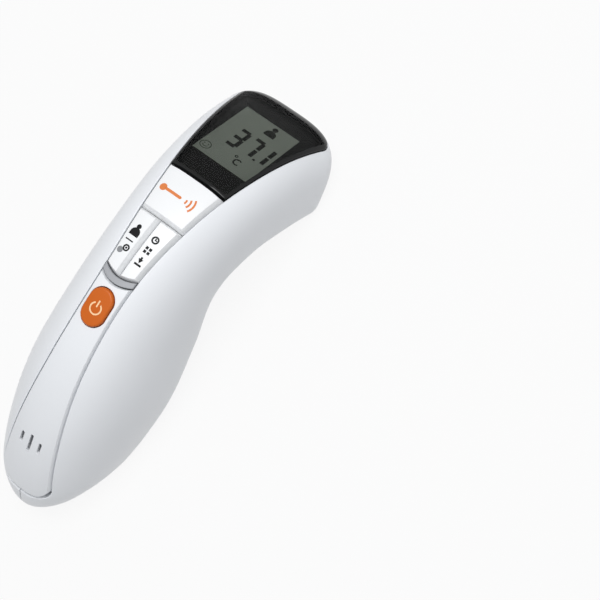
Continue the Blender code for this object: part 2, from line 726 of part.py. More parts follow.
def control_panel():
    """White strip from the tail to the key frame, with slots, buzzer ring and power opening."""
    rows = [0.0] + [(s - GAP) / (PANEL_HEAD - GAP) for s in PANEL_STATIONS]
    panel = skin_solid("panel", straight(GAP), arc(PANEL_HEAD), strip_right, strip_left,
                       capped(PANEL_PROUD, 0.0004, FLANGE_REACH, FLANGE_REACH), rows, ACROSS)
    station, _, _ = SLOTS[1]
    frame = station_frame(station)
    ring = cylinder("ring", frame, (0, 0), BUZZER_RADIUS + GAP + 0.0008, (-0.0060, -0.0025), 20)
    pocket = cylinder("pocket", frame, (0, 0), BUZZER_RADIUS + GAP, (-0.0080, -BUZZER_DEPTH + GAP), 20)
    combine(panel, "UNION", ring)
    combine(panel, "DIFFERENCE", pocket)
    for s, y, length in SLOTS:
        half = SLOT_WIDTH / 2.0
        combine(panel, "DIFFERENCE", box("slot", station_frame(s), (-length / 2.0, length / 2.0),
                                         (y - half, y + half), (-0.0055, 0.002)))
    combine(panel, "DIFFERENCE", stadium_loft("opening", POWER, ((GAP, -0.008), (GAP, 0.003))))
    return finish(panel, "control_panel", WHITE)


def key_frame():
    """Grey carrier: the visible arc, and a channel under the flanges of the keys."""
    reach = FLANGE_REACH + GAP + 0.0012
    room = FLANGE_REACH + GAP
    end = straight(WINDOW_STATION - GAP)
    tail = arc(FRAME_ARC_STATION)
    inner_tail = arc(FRAME_ARC_STATION + FRAME_ARC_WIDTH)
    rows = even(9)
    frame = skin_solid("carrier", tail, end, strip_right, strip_left,
                       [(0, 0, -reach, -reach, SEAT, 0), (0, 0, -reach, -reach, SEAT, FRAME_BOTTOM)],
                       rows, ACROSS)
    channel = skin_solid("channel", inner_tail, straight(WINDOW_STATION + 0.002), strip_right, strip_left,
                         [(0, 0, -room, -room, SEAT, -0.001), (0, 0, -room, -room, SEAT, FRAME_FLOOR)],
                         rows, ACROSS)
    rim = skin_solid("rim", tail, inner_tail, strip_right, strip_left,
                     [(0, 0, 0, 0, 0, 0.0001), (0.0001, 0.0001, 0.0001, 0.0001, SEAT, FRAME_BOTTOM - 0.0004)],
                     even(3), ACROSS)
    combine(frame, "DIFFERENCE", channel)
    combine(frame, "UNION", rim)
    for x, y in plunger_places():
        hole = cylinder("hole", KEYS, (x, y), PLUNGER_RADIUS + 2.0 * GAP, (-KEY_BOARD_DEPTH, 0.0), 16)
        combine(frame, "DIFFERENCE", hole)
    return finish(frame, "key_frame", GREY)


def plunger_places():
    """Places of the three key plungers on the key board."""
    x, y = SIDE_SWITCH
    return ((MEASURE_SWITCH_X, 0.0), (x, y), (x, -y))


def plunger(frame, x, y, board_depth):
    """Plunger from inside a key cap down to the switch stem."""
    end = -board_depth + GAP + SWITCH_HEIGHT + STEM_RISE + GAP
    return cylinder("plunger", frame, (x, y), PLUNGER_RADIUS, (end, -0.0022), 16)


def measure_button():
    cap = skin_solid("cap", straight(MEASURE_STATION + GAP), straight(WINDOW_STATION - GAP),
                     strip_right, strip_left,
                     capped(KEY_PROUD, KEY_CHAMFER, FLANGE_REACH, FLANGE_REACH), even(7), ACROSS)
    combine(cap, "UNION", plunger(KEYS, MEASURE_SWITCH_X, 0.0, KEY_BOARD_DEPTH))
    return finish(cap, "measure_button", KEY_WHITE, KEYS @ Matrix.Translation((MEASURE_SWITCH_X, 0, 0)))


def side_button(name, side):
    """Mode key on the left, memory key on the right; the two meet along the middle."""
    x, y = SIDE_SWITCH
    edges = (lambda s: GAP / 2.0, strip_left) if side > 0 else (strip_right, lambda s: -GAP / 2.0)
    reach = (-FLANGE_STEP, FLANGE_REACH) if side > 0 else (FLANGE_REACH, -FLANGE_STEP)

    cap = skin_solid("cap", arc(KEYS_STATION), straight(MEASURE_STATION), *edges,
                     capped(KEY_PROUD, KEY_CHAMFER, *reach), even(7), HALF_ACROSS)
    combine(cap, "UNION", plunger(KEYS, x, side * y, KEY_BOARD_DEPTH))
    return finish(cap, name, KEY_WHITE, KEYS @ Matrix.Translation((x, side * y, 0)))


def power_button():
    layers = ((0.0010, -0.0052), (0.0010, -0.0044), (0.0, -0.0043), (0.0, POWER_PROUD - 0.0006),
              (-0.0003, POWER_PROUD - 0.0002), (-0.0008, POWER_PROUD))
    cap = stadium_loft("cap", POWER, layers)
    end = -MAIN_BOARD_DEPTH + GAP + SWITCH_HEIGHT + STEM_RISE + GAP
    combine(cap, "UNION", cylinder("plunger", POWER, (0, 0), PLUNGER_RADIUS, (end, -0.0046), 16))
    return finish(cap, "power_button", ORANGE, POWER)


def display_window():
    """Black lens on its ledge, rolled over the front edge of the head."""
    edge = 0.0004
    layers = [(edge, edge, edge, edge, 0.0, -0.0002), (0.0, 0.0, 0.0, 0.0, 0.0, edge - 0.0002),
              (0.0, 0.0, 0.0, 0.0, 0.0, WINDOW_THICKNESS)]
    rows = even(10)[:-1] + [0.93, 0.965, 1.0]
    lens = skin_solid("lens", straight(WINDOW_STATION + GAP), straight(WINDOW_FRONT),
                      strip_right, strip_left, layers, rows, ACROSS)
    return finish(lens, "display_window", BLACK_LENS)


# ================================================================ display stack
GLASS_BOTTOM = DISPLAY_DEPTH + GLASS_THICKNESS
HOLDER_TOP = GLASS_BOTTOM + GAP
HOLDER_BOTTOM = HOLDER_TOP + HOLDER_HEIGHT
DISPLAY_BOARD_TOP = HOLDER_BOTTOM + GAP


def lcd_panel():
    length, half = GLASS_HALF
    middle = -DISPLAY_DEPTH - GLASS_THICKNESS / 2.0
    rear = box("rear", DISPLAY, (-length, length), (-half, half), (-GLASS_BOTTOM, middle))
    front = box("front", DISPLAY, (-length + 0.0012, length - 0.0002), (-half + 0.0002, half - 0.0002),
                (middle - 0.0002, -DISPLAY_DEPTH))
    combine(rear, "UNION", front)
    return finish(rear, "lcd_panel", GLASS, DISPLAY)


def lcd_holder():
    _, half = GLASS_HALF
    zs = (-HOLDER_BOTTOM, -HOLDER_TOP)
    through = (-HOLDER_BOTTOM - 0.001, -HOLDER_TOP + 0.001)
    frame = box("frame", DISPLAY, (-HOLDER_TAIL, HOLDER_HEAD), (-half, half), zs)
    reach = CONNECTOR_WIDTH / 2.0 + GAP
    side = CONNECTOR_HALF + GAP
    inner = (-CONNECTOR_X + reach + HOLDER_BAR, HOLDER_HEAD - HOLDER_BAR)
    combine(frame, "DIFFERENCE",
            box("window", DISPLAY, inner, (-half + HOLDER_BAR, half - HOLDER_BAR), through),
            box("slot", DISPLAY, (-CONNECTOR_X - reach, -CONNECTOR_X + reach), (-side, side), through))
    return finish(frame, "lcd_holder", BLACK, DISPLAY)


def lcd_connector():
    half = CONNECTOR_WIDTH / 2.0
    bar = box("bar", DISPLAY, (-CONNECTOR_X - half, -CONNECTOR_X + half), (-CONNECTOR_HALF, CONNECTOR_HALF),
              (-HOLDER_BOTTOM, -HOLDER_TOP))
    return finish(bar, "lcd_connector", RUBBER, DISPLAY)


def board(name, frame, xs, half, depth):
    made = box("board", frame, xs, (-half, half), (-depth - BOARD_THICKNESS, -depth))
    return finish(made, name, BOARD, frame)


def chip(name, x, y, size, chip_material):
    """Block under the main board, of a size along, across and down."""
    long, wide, high = size
    top = -MAIN_BOARD_DEPTH - BOARD_THICKNESS - GAP
    block = box("chip", POWER, (x - long / 2.0, x + long / 2.0), (y - wide / 2.0, y + wide / 2.0),
                (top - high, top))
    return finish(block, name, chip_material, POWER)


def switch(name, frame, x, y, board_depth):
    """Tactile switch: the case on its board and the stem that rides in it."""
    base = -board_depth + GAP
    top = base + SWITCH_HEIGHT
    half = SWITCH_SIDE / 2.0
    case = box("case", frame, (x - half, x + half), (y - half, y + half), (base, top))
    combine(case, "DIFFERENCE",
            cylinder("bore", frame, (x, y), STEM_RADIUS + GAP, (top - 0.0017, top + 0.001), 16))
    stem = cylinder("stem", frame, (x, y), STEM_RADIUS, (top - STEM_SEAT, top + STEM_RISE), 16)
    here = frame @ Matrix.Translation((x, y, 0))
    return finish(case, name + "_switch", BLACK, here), finish(stem, name + "_switch_stem", GREY, here)


# ================================================================ buzzer, nose and sensor
def buzzer():
    frame = station_frame(SLOTS[1][0])
    disc = cylinder("disc", frame, (0, 0), BUZZER_RADIUS, (-BUZZER_DEPTH - BUZZER_HEIGHT, -BUZZER_DEPTH), 24)
    return finish(disc, "buzzer", BLACK, frame)


NOSE_FACE = NOSE_LENGTH
NOSE_WALL_BACK = NOSE_LENGTH - WALL
SENSOR_HOLDER_FRONT = 0.0007
SENSOR_HOLDER_BACK = SENSOR_HOLDER_FRONT - HOLDER_LENGTH
SENSOR_BOARD_FACE = SENSOR_HOLDER_BACK - GAP


def nose_ring():
    """Bezel round the sensor opening, held by its flange behind the front wall."""
    front = NOSE_FACE + NOSE_PROUD
    back = NOSE_WALL_BACK - GAP
    outer = NOSE_HOLE_RADIUS - GAP
    outline = [(front - 0.0006, outer), (front - 0.0002, outer - 0.0002), (front, outer - 0.0006),
               (front, 0.0054), (front - 0.0005, 0.0050), (0.0022, 0.0033), (0.0022, 0.0046),
               (0.0010, 0.0046), (0.0010, outer), (back - 0.0011, outer), (back - 0.0011, NOSE_FLANGE_RADIUS),
               (back, NOSE_FLANGE_RADIUS), (back, outer)]
    return finish(turned("ring", NOSE, outline, 24), "nose_ring", GREY, NOSE)


def ir_window():
    outline = [(0.0013, 0.0), (0.0019, 0.0), (0.0019, 0.0043), (0.0013, 0.0043)]
    return finish(turned("window", NOSE, outline, 24), "ir_window", FILTER, NOSE)


def sensor_holder():
    front, back = SENSOR_HOLDER_FRONT, SENSOR_HOLDER_BACK
    seat = CAN_FRONT + GAP
    bore = CAN_RADIUS + CAN_FLANGE + GAP
    outline = [(front, HOLDER_RADIUS), (front, 0.0030), (seat, 0.0019), (seat, bore),
               (back, bore), (back, HOLDER_RADIUS)]
    return finish(turned("holder", NOSE, outline, 24), "sensor_holder", ALUMINIUM, NOSE)


def ir_sensor():
    """Thermopile in its metal can, with four leads toward the sensor board."""
    front, back = CAN_FRONT, CAN_FRONT - CAN_LENGTH
    rim = CAN_RADIUS + CAN_FLANGE
    outline = [(front, 0.0), (front, CAN_RADIUS - 0.0004), (front - 0.0004, CAN_RADIUS), (back, CAN_RADIUS),
               (back, rim), (back - 0.0004, rim), (back - 0.0004, 0.0)]
    can = turned("can", NOSE, outline, 24)
    along = NOSE @ Matrix.Rotation(pi / 2.0, 4, "Y")
    ends = (SENSOR_BOARD_FACE + GAP, back - 0.0002)
    for i in range(4):
        turn = pi / 4.0 + i * pi / 2.0
        place_xy = (0.0013 * cos(turn), 0.0013 * sin(turn))
        combine(can, "UNION", cylinder("lead", along, place_xy, 0.00025, ends, 8))
    return finish(can, "ir_sensor", STEEL, NOSE)


def sensor_board():
    face = SENSOR_BOARD_FACE
    outline = [(face, 0.0), (face, HOLDER_RADIUS), (face - BOARD_THICKNESS, HOLDER_RADIUS),
               (face - BOARD_THICKNESS, 0.0)]
    return finish(turned("board", NOSE, outline, 24), "sensor_board", BOARD, NOSE)


# ================================================================ battery bay
CONTACT_GAP = CONTACT_THICKNESS + 2.0 * GAP
BAY_HALF = (CELL_LENGTH + CONTACT_GAP + CONTACT_THICKNESS + SPRING_LENGTH + 2.0 * GAP) / 2.0
TRAY_HALF = CELL_SPACING / 2.0 + CELL_RADIUS + GAP
TAB_X = BAY_HALF - GAP - CONTACT_THICKNESS
TAB_TOP = CELL_RADIUS + GAP + TRAY_WALL + TAB_RISE


def battery_tray():
    """Box open toward the door, with slots in its roof for the contacts' tabs."""
    top = CELL_RADIUS + GAP
    wall = TRAY_WALL
    tray = box("tray", BAY, (-BAY_HALF - wall, BAY_HALF + wall), (-TRAY_HALF - wall, TRAY_HALF + wall),
               (-TRAY_RIM, top + wall))
    inside = box("inside", BAY, (-BAY_HALF, BAY_HALF), (-TRAY_HALF, TRAY_HALF), (-0.010, top))
    combine(tray, "DIFFERENCE", inside)
    xs = (TAB_X - GAP, TAB_X + CONTACT_THICKNESS + 2.0 * GAP)
    for side in (-1, 1):
        y = side * CELL_SPACING / 2.0
        ys = (y - TAB_HALF - GAP, y + TAB_HALF + GAP)
        combine(tray, "DIFFERENCE", box("slot", BAY, xs, ys, (top - 0.001, top + wall + 0.001)))
    return finish(tray, "battery_tray", BLACK, BAY)


def battery(name, side):
    """AAA cell; the left one points its nub toward the head, the right one toward the tail."""
    nub_end = BAY_HALF - CONTACT_GAP
    flat_end = nub_end - CELL_LENGTH
    shoulder = nub_end - CELL_NUB
    bevel = 0.0005
    outline = [(flat_end, 0.0), (flat_end, CELL_RADIUS - bevel), (flat_end + bevel, CELL_RADIUS),
               (shoulder - bevel, CELL_RADIUS), (shoulder, CELL_RADIUS - bevel), (shoulder, 0.0019),
               (nub_end, 0.0019), (nub_end, 0.0)]
    frame = BAY @ Matrix.Translation((0.0, side * CELL_SPACING / 2.0, 0.0))
    if side < 0:
        frame = frame @ Matrix.Rotation(pi, 4, "Z")
    return finish(turned("cell", frame, outline, 20), name, CELL, frame)


def contact_plate(end, ys, tab=None):
    """Flat contact against an end wall of the tray, with a tab through the tray's roof."""
    low, high = ys
    outline = [(low, PLATE_BOTTOM), (high, PLATE_BOTTOM), (high, PLATE_TOP)]
    if tab is not None:
        outline += [(tab + TAB_HALF, PLATE_TOP), (tab + TAB_HALF, TAB_TOP),
                    (tab - TAB_HALF, TAB_TOP), (tab - TAB_HALF, PLATE_TOP)]
    outline.append((low, PLATE_TOP))
    xs = sorted((end * TAB_X, end * (TAB_X + CONTACT_THICKNESS)))
    return loft("plate", [[BAY @ Vector((x, y, z)) for y, z in outline] for x in xs])


def coil(end, y):
    """Conical spring from the contact plate to the flat end of a cell."""
    turns, steps = 3, 24
    points = []
    for i in range(steps + 1):
        share = i / steps
        turn = 2.0 * pi * turns * share
        radius = COIL_FOOT - (COIL_FOOT - COIL_TIP) * share
        x = end * (TAB_X + 0.0001 - share * (SPRING_LENGTH - COIL_WIRE))
        points.append(BAY @ Vector((x, y + radius * cos(turn), radius * sin(turn))))
    return tube("coil", points, COIL_WIRE, 4)


def contacts():
    """Two single contacts at the head, one bridge across both cells at the tail."""
    y = CELL_SPACING / 2.0
    positive = contact_plate(1, (y - PLATE_HALF, y + PLATE_HALF), y)
    negative = contact_plate(1, (-y - PLATE_HALF, -y + PLATE_HALF), -y)
    combine(negative, "UNION", coil(1, -y))
    bridge = contact_plate(-1, (-y - PLATE_HALF, y + PLATE_HALF))
    combine(bridge, "UNION", coil(-1, y))
    return (finish(positive, "contact_positive", STEEL, BAY),
            finish(negative, "contact_negative", STEEL, BAY),
            finish(bridge, "contact_bridge", STEEL, BAY))


def door_hinge():
    """World point of the line that the door turns on: the lower corner of its tail edge."""
    edge = BAY @ Vector((-DOOR_TAIL, 0.0, 0.0))
    down = BAY.to_3x3() @ Vector((0.0, 0.0, -1.0))
    return edge + down * (edge.z / -down.z)


def battery_door():
    """Door in the housing's own form, with two hooks, cross ribs and grooves for the thumb."""
    ribs = [box("rib", BAY, (x - DOOR_RIB / 2.0, x + DOOR_RIB / 2.0), (-DOOR_RIB_HALF, DOOR_RIB_HALF),
                (-0.0300, DOOR_CEILING + 0.001)) for x in DOOR_RIBS]
    hollow = combine(cavity_solid(), "DIFFERENCE", *ribs)
    plate = combine(body_solid(), "DIFFERENCE", hollow)
    combine(plate, "INTERSECT", door_region(0.0))
    combine(plate, "DIFFERENCE", box("floor", WORLD, (-0.1, 0.1), (-0.03, 0.03), (-0.01, DOOR_LIFT)))
    for s in GROOVES:
        _, rise, keel, _, top = profile(s)
        frame = side_frame(s, top + rise + keel + GROOVE_RADIUS - GROOVE_DEPTH)
        groove = cylinder("groove", frame, (0, 0), GROOVE_RADIUS, (-GROOVE_HALF, GROOVE_HALF), 16)
        combine(plate, "DIFFERENCE", groove)
    hinge = door_hinge()
    here = Matrix.Translation(hinge)
    for side in (-1, 1):
        ys = (side * HOOK_OFFSET - HOOK_WIDTH / 2.0, side * HOOK_OFFSET + HOOK_WIDTH / 2.0)
        post = box("post", here, (0.0004, 0.0016), ys, (WALL - 0.0006, WALL + 0.0012))
        tongue = box("tongue", here, (-0.0026, 0.0014), ys, (WALL + GAP, WALL + 0.0011))
        combine(plate, "UNION", post, tongue)
    return finish(plate, "battery_door", WHITE, here)


# ================================================================ cables and screws
def bend(start, start_pull, end_pull, end, count=10):
    """Points along a Bezier curve."""
    return [(1 - u)**3 * start + 3 * (1 - u)**2 * u * start_pull + 3 * (1 - u) * u**2 * end_pull + u**3 * end
            for u in (i / (count - 1) for i in range(count))]


def flex(name, curve):
    """Flat flex cable: a ribbon of constant width along a curve in the middle plane."""
    half = FLEX_WIDTH / 2.0
    rings = []
    for i, point in enumerate(curve):
        ahead = (curve[min(i + 1, len(curve) - 1)] - curve[max(i - 1, 0)]).normalized()
        lift = Vector((-ahead.z, 0.0, ahead.x)) * FLEX_THICKNESS / 2.0
        across = Vector((0.0, half, 0.0))
        rings.append([point + lift - across, point + lift + across,
                      point - lift + across, point - lift - across])
    return finish(loft("ribbon", rings), name, FLEX)


def flexes():
    """Cables under the boards: display to keys, keys to main, and display to sensor."""
    sag = FLEX_SAG
    down = BOARD_THICKNESS + GAP + FLEX_THICKNESS / 2.0
    display, keys, main_under = -DISPLAY_BOARD_TOP - down, -KEY_BOARD_DEPTH - down, -MAIN_BOARD_DEPTH - down
    end = FLEX_END
    flex("display_flex", bend(DISPLAY @ Vector((end - DISPLAY_BOARD_TAIL, 0, display)),
                              DISPLAY @ Vector((-end - DISPLAY_BOARD_TAIL, 0, display - sag)),
                              KEYS @ Vector((KEY_BOARD_HEAD + end, 0, keys - sag)),
                              KEYS @ Vector((KEY_BOARD_HEAD - end, 0, keys))))
    flex("key_flex", bend(KEYS @ Vector((end - KEY_BOARD_TAIL, 0, keys)),
                          KEYS @ Vector((-end - KEY_BOARD_TAIL, 0, keys - sag)),
                          POWER @ Vector((MAIN_BOARD_HEAD + end, 0, main_under - sag)),
                          POWER @ Vector((MAIN_BOARD_HEAD - end, 0, main_under))))
    back = SENSOR_BOARD_FACE - BOARD_THICKNESS - GAP - FLEX_THICKNESS / 2.0
    flex("sensor_flex", bend(DISPLAY @ Vector((DISPLAY_BOARD_HEAD - 2.0 * end, 0, display)),
                             DISPLAY @ Vector((DISPLAY_BOARD_HEAD, 0, display)),
                             NOSE @ Vector((back, 0, end)),
                             NOSE @ Vector((back, 0, -end))))


def wire(name, colour, curve):
    return finish(tube("wire", curve, WIRE_RADIUS), name, colour)


def wires():
    """Leads from the battery contacts and from the buzzer to the main board."""
    solder_under = -MAIN_BOARD_DEPTH - BOARD_THICKNESS - GAP
    solder_over = -MAIN_BOARD_DEPTH + GAP
    tab = TAB_X + CONTACT_THICKNESS / 2.0
    slots = station_frame(SLOTS[1][0])
    buzzer_back = -BUZZER_DEPTH - BUZZER_HEIGHT - GAP
    for side, colour, of_colour in ((1, RED_WIRE, "red"), (-1, BLACK, "black")):
        y = side * CELL_SPACING / 2.0
        board_y = side * WIRE_BOARD_Y
        wire("battery_wire_" + of_colour, colour,
             bend(BAY @ Vector((tab, y, TAB_TOP + GAP)), BAY @ Vector((tab, y, TAB_TOP + 0.0040)),
                  POWER @ Vector((BATTERY_WIRE_X, board_y, solder_under - 0.0040)),
                  POWER @ Vector((BATTERY_WIRE_X, board_y, solder_under))))
        y = side * BUZZER_WIRE_Y
        wire("buzzer_wire_" + of_colour, colour,
             bend(slots @ Vector((0.0, y, buzzer_back)), slots @ Vector((0.0, y, buzzer_back - 0.0050)),
                  POWER @ Vector((BUZZER_WIRE_X, y, solder_over + 0.0050)),
                  POWER @ Vector((BUZZER_WIRE_X, y, solder_over))))


def housing_screw(name, station, depth):
    frame = side_frame(station, depth) @ Matrix.Rotation(-pi / 2.0, 4, "Y")
    seat = SCREW_HEAD_SEAT + GAP
    outline = [(-SCREW_REACH, 0.0), (-SCREW_REACH + 0.0008, SCREW_RADIUS), (seat, SCREW_RADIUS),
               (seat, SCREW_HEAD_RADIUS), (seat + 0.0008, SCREW_HEAD_RADIUS),
               (seat + SCREW_HEAD_HEIGHT, SCREW_HEAD_RADIUS - 0.0007), (seat + SCREW_HEAD_HEIGHT, 0.0)]
    return finish(turned("screw", frame, outline, 12), name, STEEL, frame)


# ================================================================ assembly
def clear_scene():
    for old in list(bpy.data.objects):
        bpy.data.objects.remove(old)


def main():
    clear_scene()
    housing(1)
    housing(-1)
    control_panel()
    key_frame()
    measure_button()
    side_button("mode_button", 1)
    side_button("memory_button", -1)
    power_button()
    display_window()
    lcd_panel()
    lcd_holder()
    lcd_connector()
    board("display_board", DISPLAY, (-DISPLAY_BOARD_TAIL, DISPLAY_BOARD_HEAD), DISPLAY_BOARD_HALF,
          DISPLAY_BOARD_TOP)
    board("key_board", KEYS, (-KEY_BOARD_TAIL, KEY_BOARD_HEAD), KEY_BOARD_HALF, KEY_BOARD_DEPTH)
    board("main_board", POWER, (-MAIN_BOARD_TAIL, MAIN_BOARD_HEAD), MAIN_BOARD_HALF, MAIN_BOARD_DEPTH)
    chip("processor", PROCESSOR_X, 0.0, PROCESSOR_SIZE, BLACK)
    chip("radio_module", RADIO_X, 0.0, RADIO_SIZE, ALUMINIUM)
    names = ("measure", "mode", "memory")
    for name, (x, y) in zip(names, plunger_places()):
        switch(name, KEYS, x, y, KEY_BOARD_DEPTH)
    switch("power", POWER, 0.0, 0.0, MAIN_BOARD_DEPTH)
    buzzer()
    nose_ring()
    ir_window()
    sensor_holder()
    ir_sensor()
    sensor_board()
    battery_tray()
    battery("battery_left", 1)
    battery("battery_right", -1)
    contacts()
    battery_door()
    flexes()
    wires()
    for i, (station, depth) in enumerate(SCREWS):
        housing_screw("housing_screw_%d" % (i + 1), station, depth)


if __name__ == "__main__":
    main()
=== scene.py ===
"""Looks of a curved hand-held infrared thermometer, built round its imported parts.

Every piece is in metres in the frame of the parts: +X from the tail to the head, +Y to the left, +Z up.
A place on the housing is a station s along the crown line from the tail end of the control panel, a
lateral distance y, and a depth below the crown.
"""
from functools import cache
from math import cos, pi, radians, sin, sqrt

import bmesh
import bpy
import numpy as np
from bpy.props import FloatProperty, FloatVectorProperty, IntProperty, PointerProperty
from mathutils import Matrix, Vector


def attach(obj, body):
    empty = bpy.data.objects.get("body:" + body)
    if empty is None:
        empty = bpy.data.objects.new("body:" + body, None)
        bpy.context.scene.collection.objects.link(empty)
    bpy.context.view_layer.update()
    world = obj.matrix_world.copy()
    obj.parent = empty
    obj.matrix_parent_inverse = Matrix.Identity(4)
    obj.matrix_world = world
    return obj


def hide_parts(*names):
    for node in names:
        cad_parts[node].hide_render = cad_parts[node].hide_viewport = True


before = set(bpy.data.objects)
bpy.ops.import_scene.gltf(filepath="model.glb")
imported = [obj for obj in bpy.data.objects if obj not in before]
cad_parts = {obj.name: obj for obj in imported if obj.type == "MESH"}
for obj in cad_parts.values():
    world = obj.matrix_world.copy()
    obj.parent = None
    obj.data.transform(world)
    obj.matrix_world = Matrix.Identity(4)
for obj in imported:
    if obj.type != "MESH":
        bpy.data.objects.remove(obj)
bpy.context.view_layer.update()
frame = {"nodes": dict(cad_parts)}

bl_info = {
    "name": "Infrared Thermometer",
    "version": (1, 0, 0),
    "blender": (4, 5, 0),
    "location": "3D View > Sidebar > Thermometer",
    "description": "Housing, keys, display and nose of a hand-held infrared thermometer",
    "category": "Object",
}

NODES = frame["nodes"]

# ---------------------------------------------------------------- form shared with the parts
GAP = 0.0003
WALL = 0.0020
SEAT = WALL + GAP
CROWN_LINE = ((-0.07033, 0.0180), (-0.04483, 0.0517), (0.03177, 0.0766), (0.07177, 0.0170))
# station, half width, depth from crown to widest line, depth of the keel below it, squareness
SECTIONS = (
    (0.000, 0.0166, 0.0247, 0.0072, 2.40),
    (0.020, 0.0190, 0.0308, 0.0095, 2.40),
    (0.045, 0.0204, 0.0336, 0.0110, 2.40),
    (0.075, 0.0190, 0.0318, 0.0110, 2.40),
    (0.100, 0.0178, 0.0242, 0.0095, 2.50),
    (0.125, 0.0187, 0.0232, 0.0085, 3.00),
    (0.145, 0.0199, 0.0236, 0.0082, 3.40),
    (0.165, 0.0212, 0.0226, 0.0080, 3.40),
)
KEEL_SQUARENESS = 2.6
HEEL_START, HEEL_LENGTH, HEEL_ROUNDNESS, HEEL_CORE = 0.008, 0.016, 2.4, 0.0025
BODY_LENGTH, NOSE_LENGTH = 0.1645, 0.0060
NOSE_TOP_ROLL, NOSE_SIDE_ROLL, NOSE_BOTTOM_ROLL = 0.0026, 0.0032, 0.0030
# station, half width of the strip that panel, keys and window share
STRIP = ((0.000, 0.0101), (0.025, 0.0085), (0.055, 0.0062), (0.085, 0.0059),
         (0.110, 0.0086), (0.135, 0.0124), (0.165, 0.0168))
STRIP_END_RADIUS = 0.0060
WINDOW_SIDE_ROLL = 0.0070
ARC_STATION, ARC_WIDTH, ARC_SAG = 0.0845, 0.0020, 0.0020
KEYS_STATION = ARC_STATION + ARC_WIDTH + GAP
MEASURE_STATION = 0.1049
WINDOW_STATION, WINDOW_FRONT, WINDOW_THICKNESS = 0.1212, 0.1700, 0.0015
LEDGE_THICKNESS, LIGHT_FRONT = 0.0010, 0.1660
FLANGE_REACH, FLANGE_THICKNESS, FLANGE_STEP = 0.0013, 0.0008, 0.0002
FRAME_FLOOR = FLANGE_THICKNESS + 0.0005 + GAP
FRAME_BOTTOM = FRAME_FLOOR + 0.0010
PANEL_PROUD, KEY_PROUD, POWER_PROUD = 0.0003, 0.0010, 0.0011
POWER_STATION = 0.0743
POWER_HALF = (0.0060, 0.0039)
SLOTS = ((0.0247, 0.0034, 0.0040), (0.0245, 0.0000, 0.0068), (0.0247, -0.0034, 0.0040))
SLOT_WIDTH = 0.0009
DISPLAY_STATION, DISPLAY_DEPTH = 0.1453, 0.0043
GLASS_HALF = (0.0141, 0.0103)
NOSE_AXIS_DEPTH, NOSE_HOLE_RADIUS, NOSE_FLANGE_RADIUS, NOSE_PROUD = 0.0140, 0.0068, 0.0077, 0.0008
BAY_CENTRE, BAY_TILT = (-0.0168, 0.0172), radians(20.0)
DOOR_TAIL, DOOR_HEAD, DOOR_HALF, DOOR_CEILING, DOOR_LIFT = 0.0240, 0.0245, 0.0108, -0.0062, 0.0002
GROOVES = (0.0690, 0.0715, 0.0740)
GROOVE_RADIUS, GROOVE_DEPTH, GROOVE_HALF = 0.0011, 0.0005, 0.0050
SCREWS = ((0.014, 0.0120), (0.052, 0.0150), (0.100, 0.0220), (0.140, 0.0210))
SCREW_RADIUS, SCREW_HEAD_RADIUS, SCREW_HEAD_SEAT, SCREW_HEAD_HEIGHT = 0.00095, 0.0020, 0.0050, 0.0015
SCREW_REACH, BOSS_WALL = 0.0080, 0.0013
BAY_RIBS = (-0.0150, 0.0150)
TRAY_SIDE_RIB_HALF, TRAY_SIDE_RIB_Z = 0.0008, (-0.0095, 0.0050)     # beside the battery tray
TRAY_FOOT_RIB_HALF, TRAY_FOOT_RIB_LOW, TRAY_FOOT_RIB_BACK = 0.0007, -0.0090, 0.0007     # under its rim
DOOR_RIBS, DOOR_RIB, DOOR_RIB_HALF = (-0.0120, 0.0, 0.0120), 0.0012, 0.0080
HOOK_WIDTH, HOOK_OFFSET = 0.0040, 0.0060
HOOK_POST_X, HOOK_POST_Z = (0.0004, 0.0016), (WALL - 0.0006, WALL + 0.0012)
HOOK_TONGUE_X, HOOK_TONGUE_Z = (-0.0026, 0.0014), (WALL + GAP, WALL + 0.0011)
CELL_RADIUS, CELL_SPACING, TRAY_WALL, TRAY_RIM = 0.00525, 0.0108, 0.0012, 0.0040
BOARD_THICKNESS, BOARD_RIB, BOARD_LAP = 0.0010, 0.0016, 0.0012
BOARD_RIB_UNDER, BOARD_RIB_OVER = 0.0025, 0.0010                    # heights of a board's ribs
BOARD_HALF_MAIN, BOARD_HALF_KEYS, BOARD_HALF_DISPLAY = 0.0100, 0.0110, 0.0130
RIBS_MAIN, RIBS_KEYS, RIBS_DISPLAY = (-0.0170, 0.0040), (-0.0125, 0.0080), (-0.0150, 0.0070)
DEPTH_MAIN, DEPTH_KEYS = 0.0105, 0.0108
DEPTH_DISPLAY = 0.0020 + GAP + 0.0026 + GAP     # display board below the face of the display glass
KEY_BOARD_STATION = MEASURE_STATION - 0.0009
MEASURE_SWITCH_X, SIDE_SWITCH = 0.0090, (-0.0085, 0.0038)
SWITCH_HEIGHT, STEM_RISE, PLUNGER_RADIUS = 0.0024, 0.0011, 0.0015
KEY_PLUNGER_TOP, POWER_PLUNGER_TOP = -0.0022, -0.0046               # where plungers leave their caps
POWER_FLANGE_REACH, POWER_FLANGE_Z, POWER_SIDE_LOW = 0.0010, (-0.0052, -0.0044), -0.0043
CARRIER_WALL = 0.0012
BUZZER_RADIUS, BUZZER_DEPTH, BUZZER_WALL = 0.0062, 0.0036, 0.0008
BUZZER_RING_Z, BUZZER_POCKET_LOW = (-0.0060, -0.0025), -0.0080
SENSOR_RADIUS = 0.0050
CRADLE_X, CRADLE_Z = (-0.0046, -0.0030), (-0.0110, 0.0050)
OUTSIDE = 0.0300                                # a distance that is clear of the housing's skin
PAST = 0.0010                                   # how far a cutting tool runs past what it cuts
WHOLE_LENGTH = (-0.1, 0.1)                      # holds the whole object along X

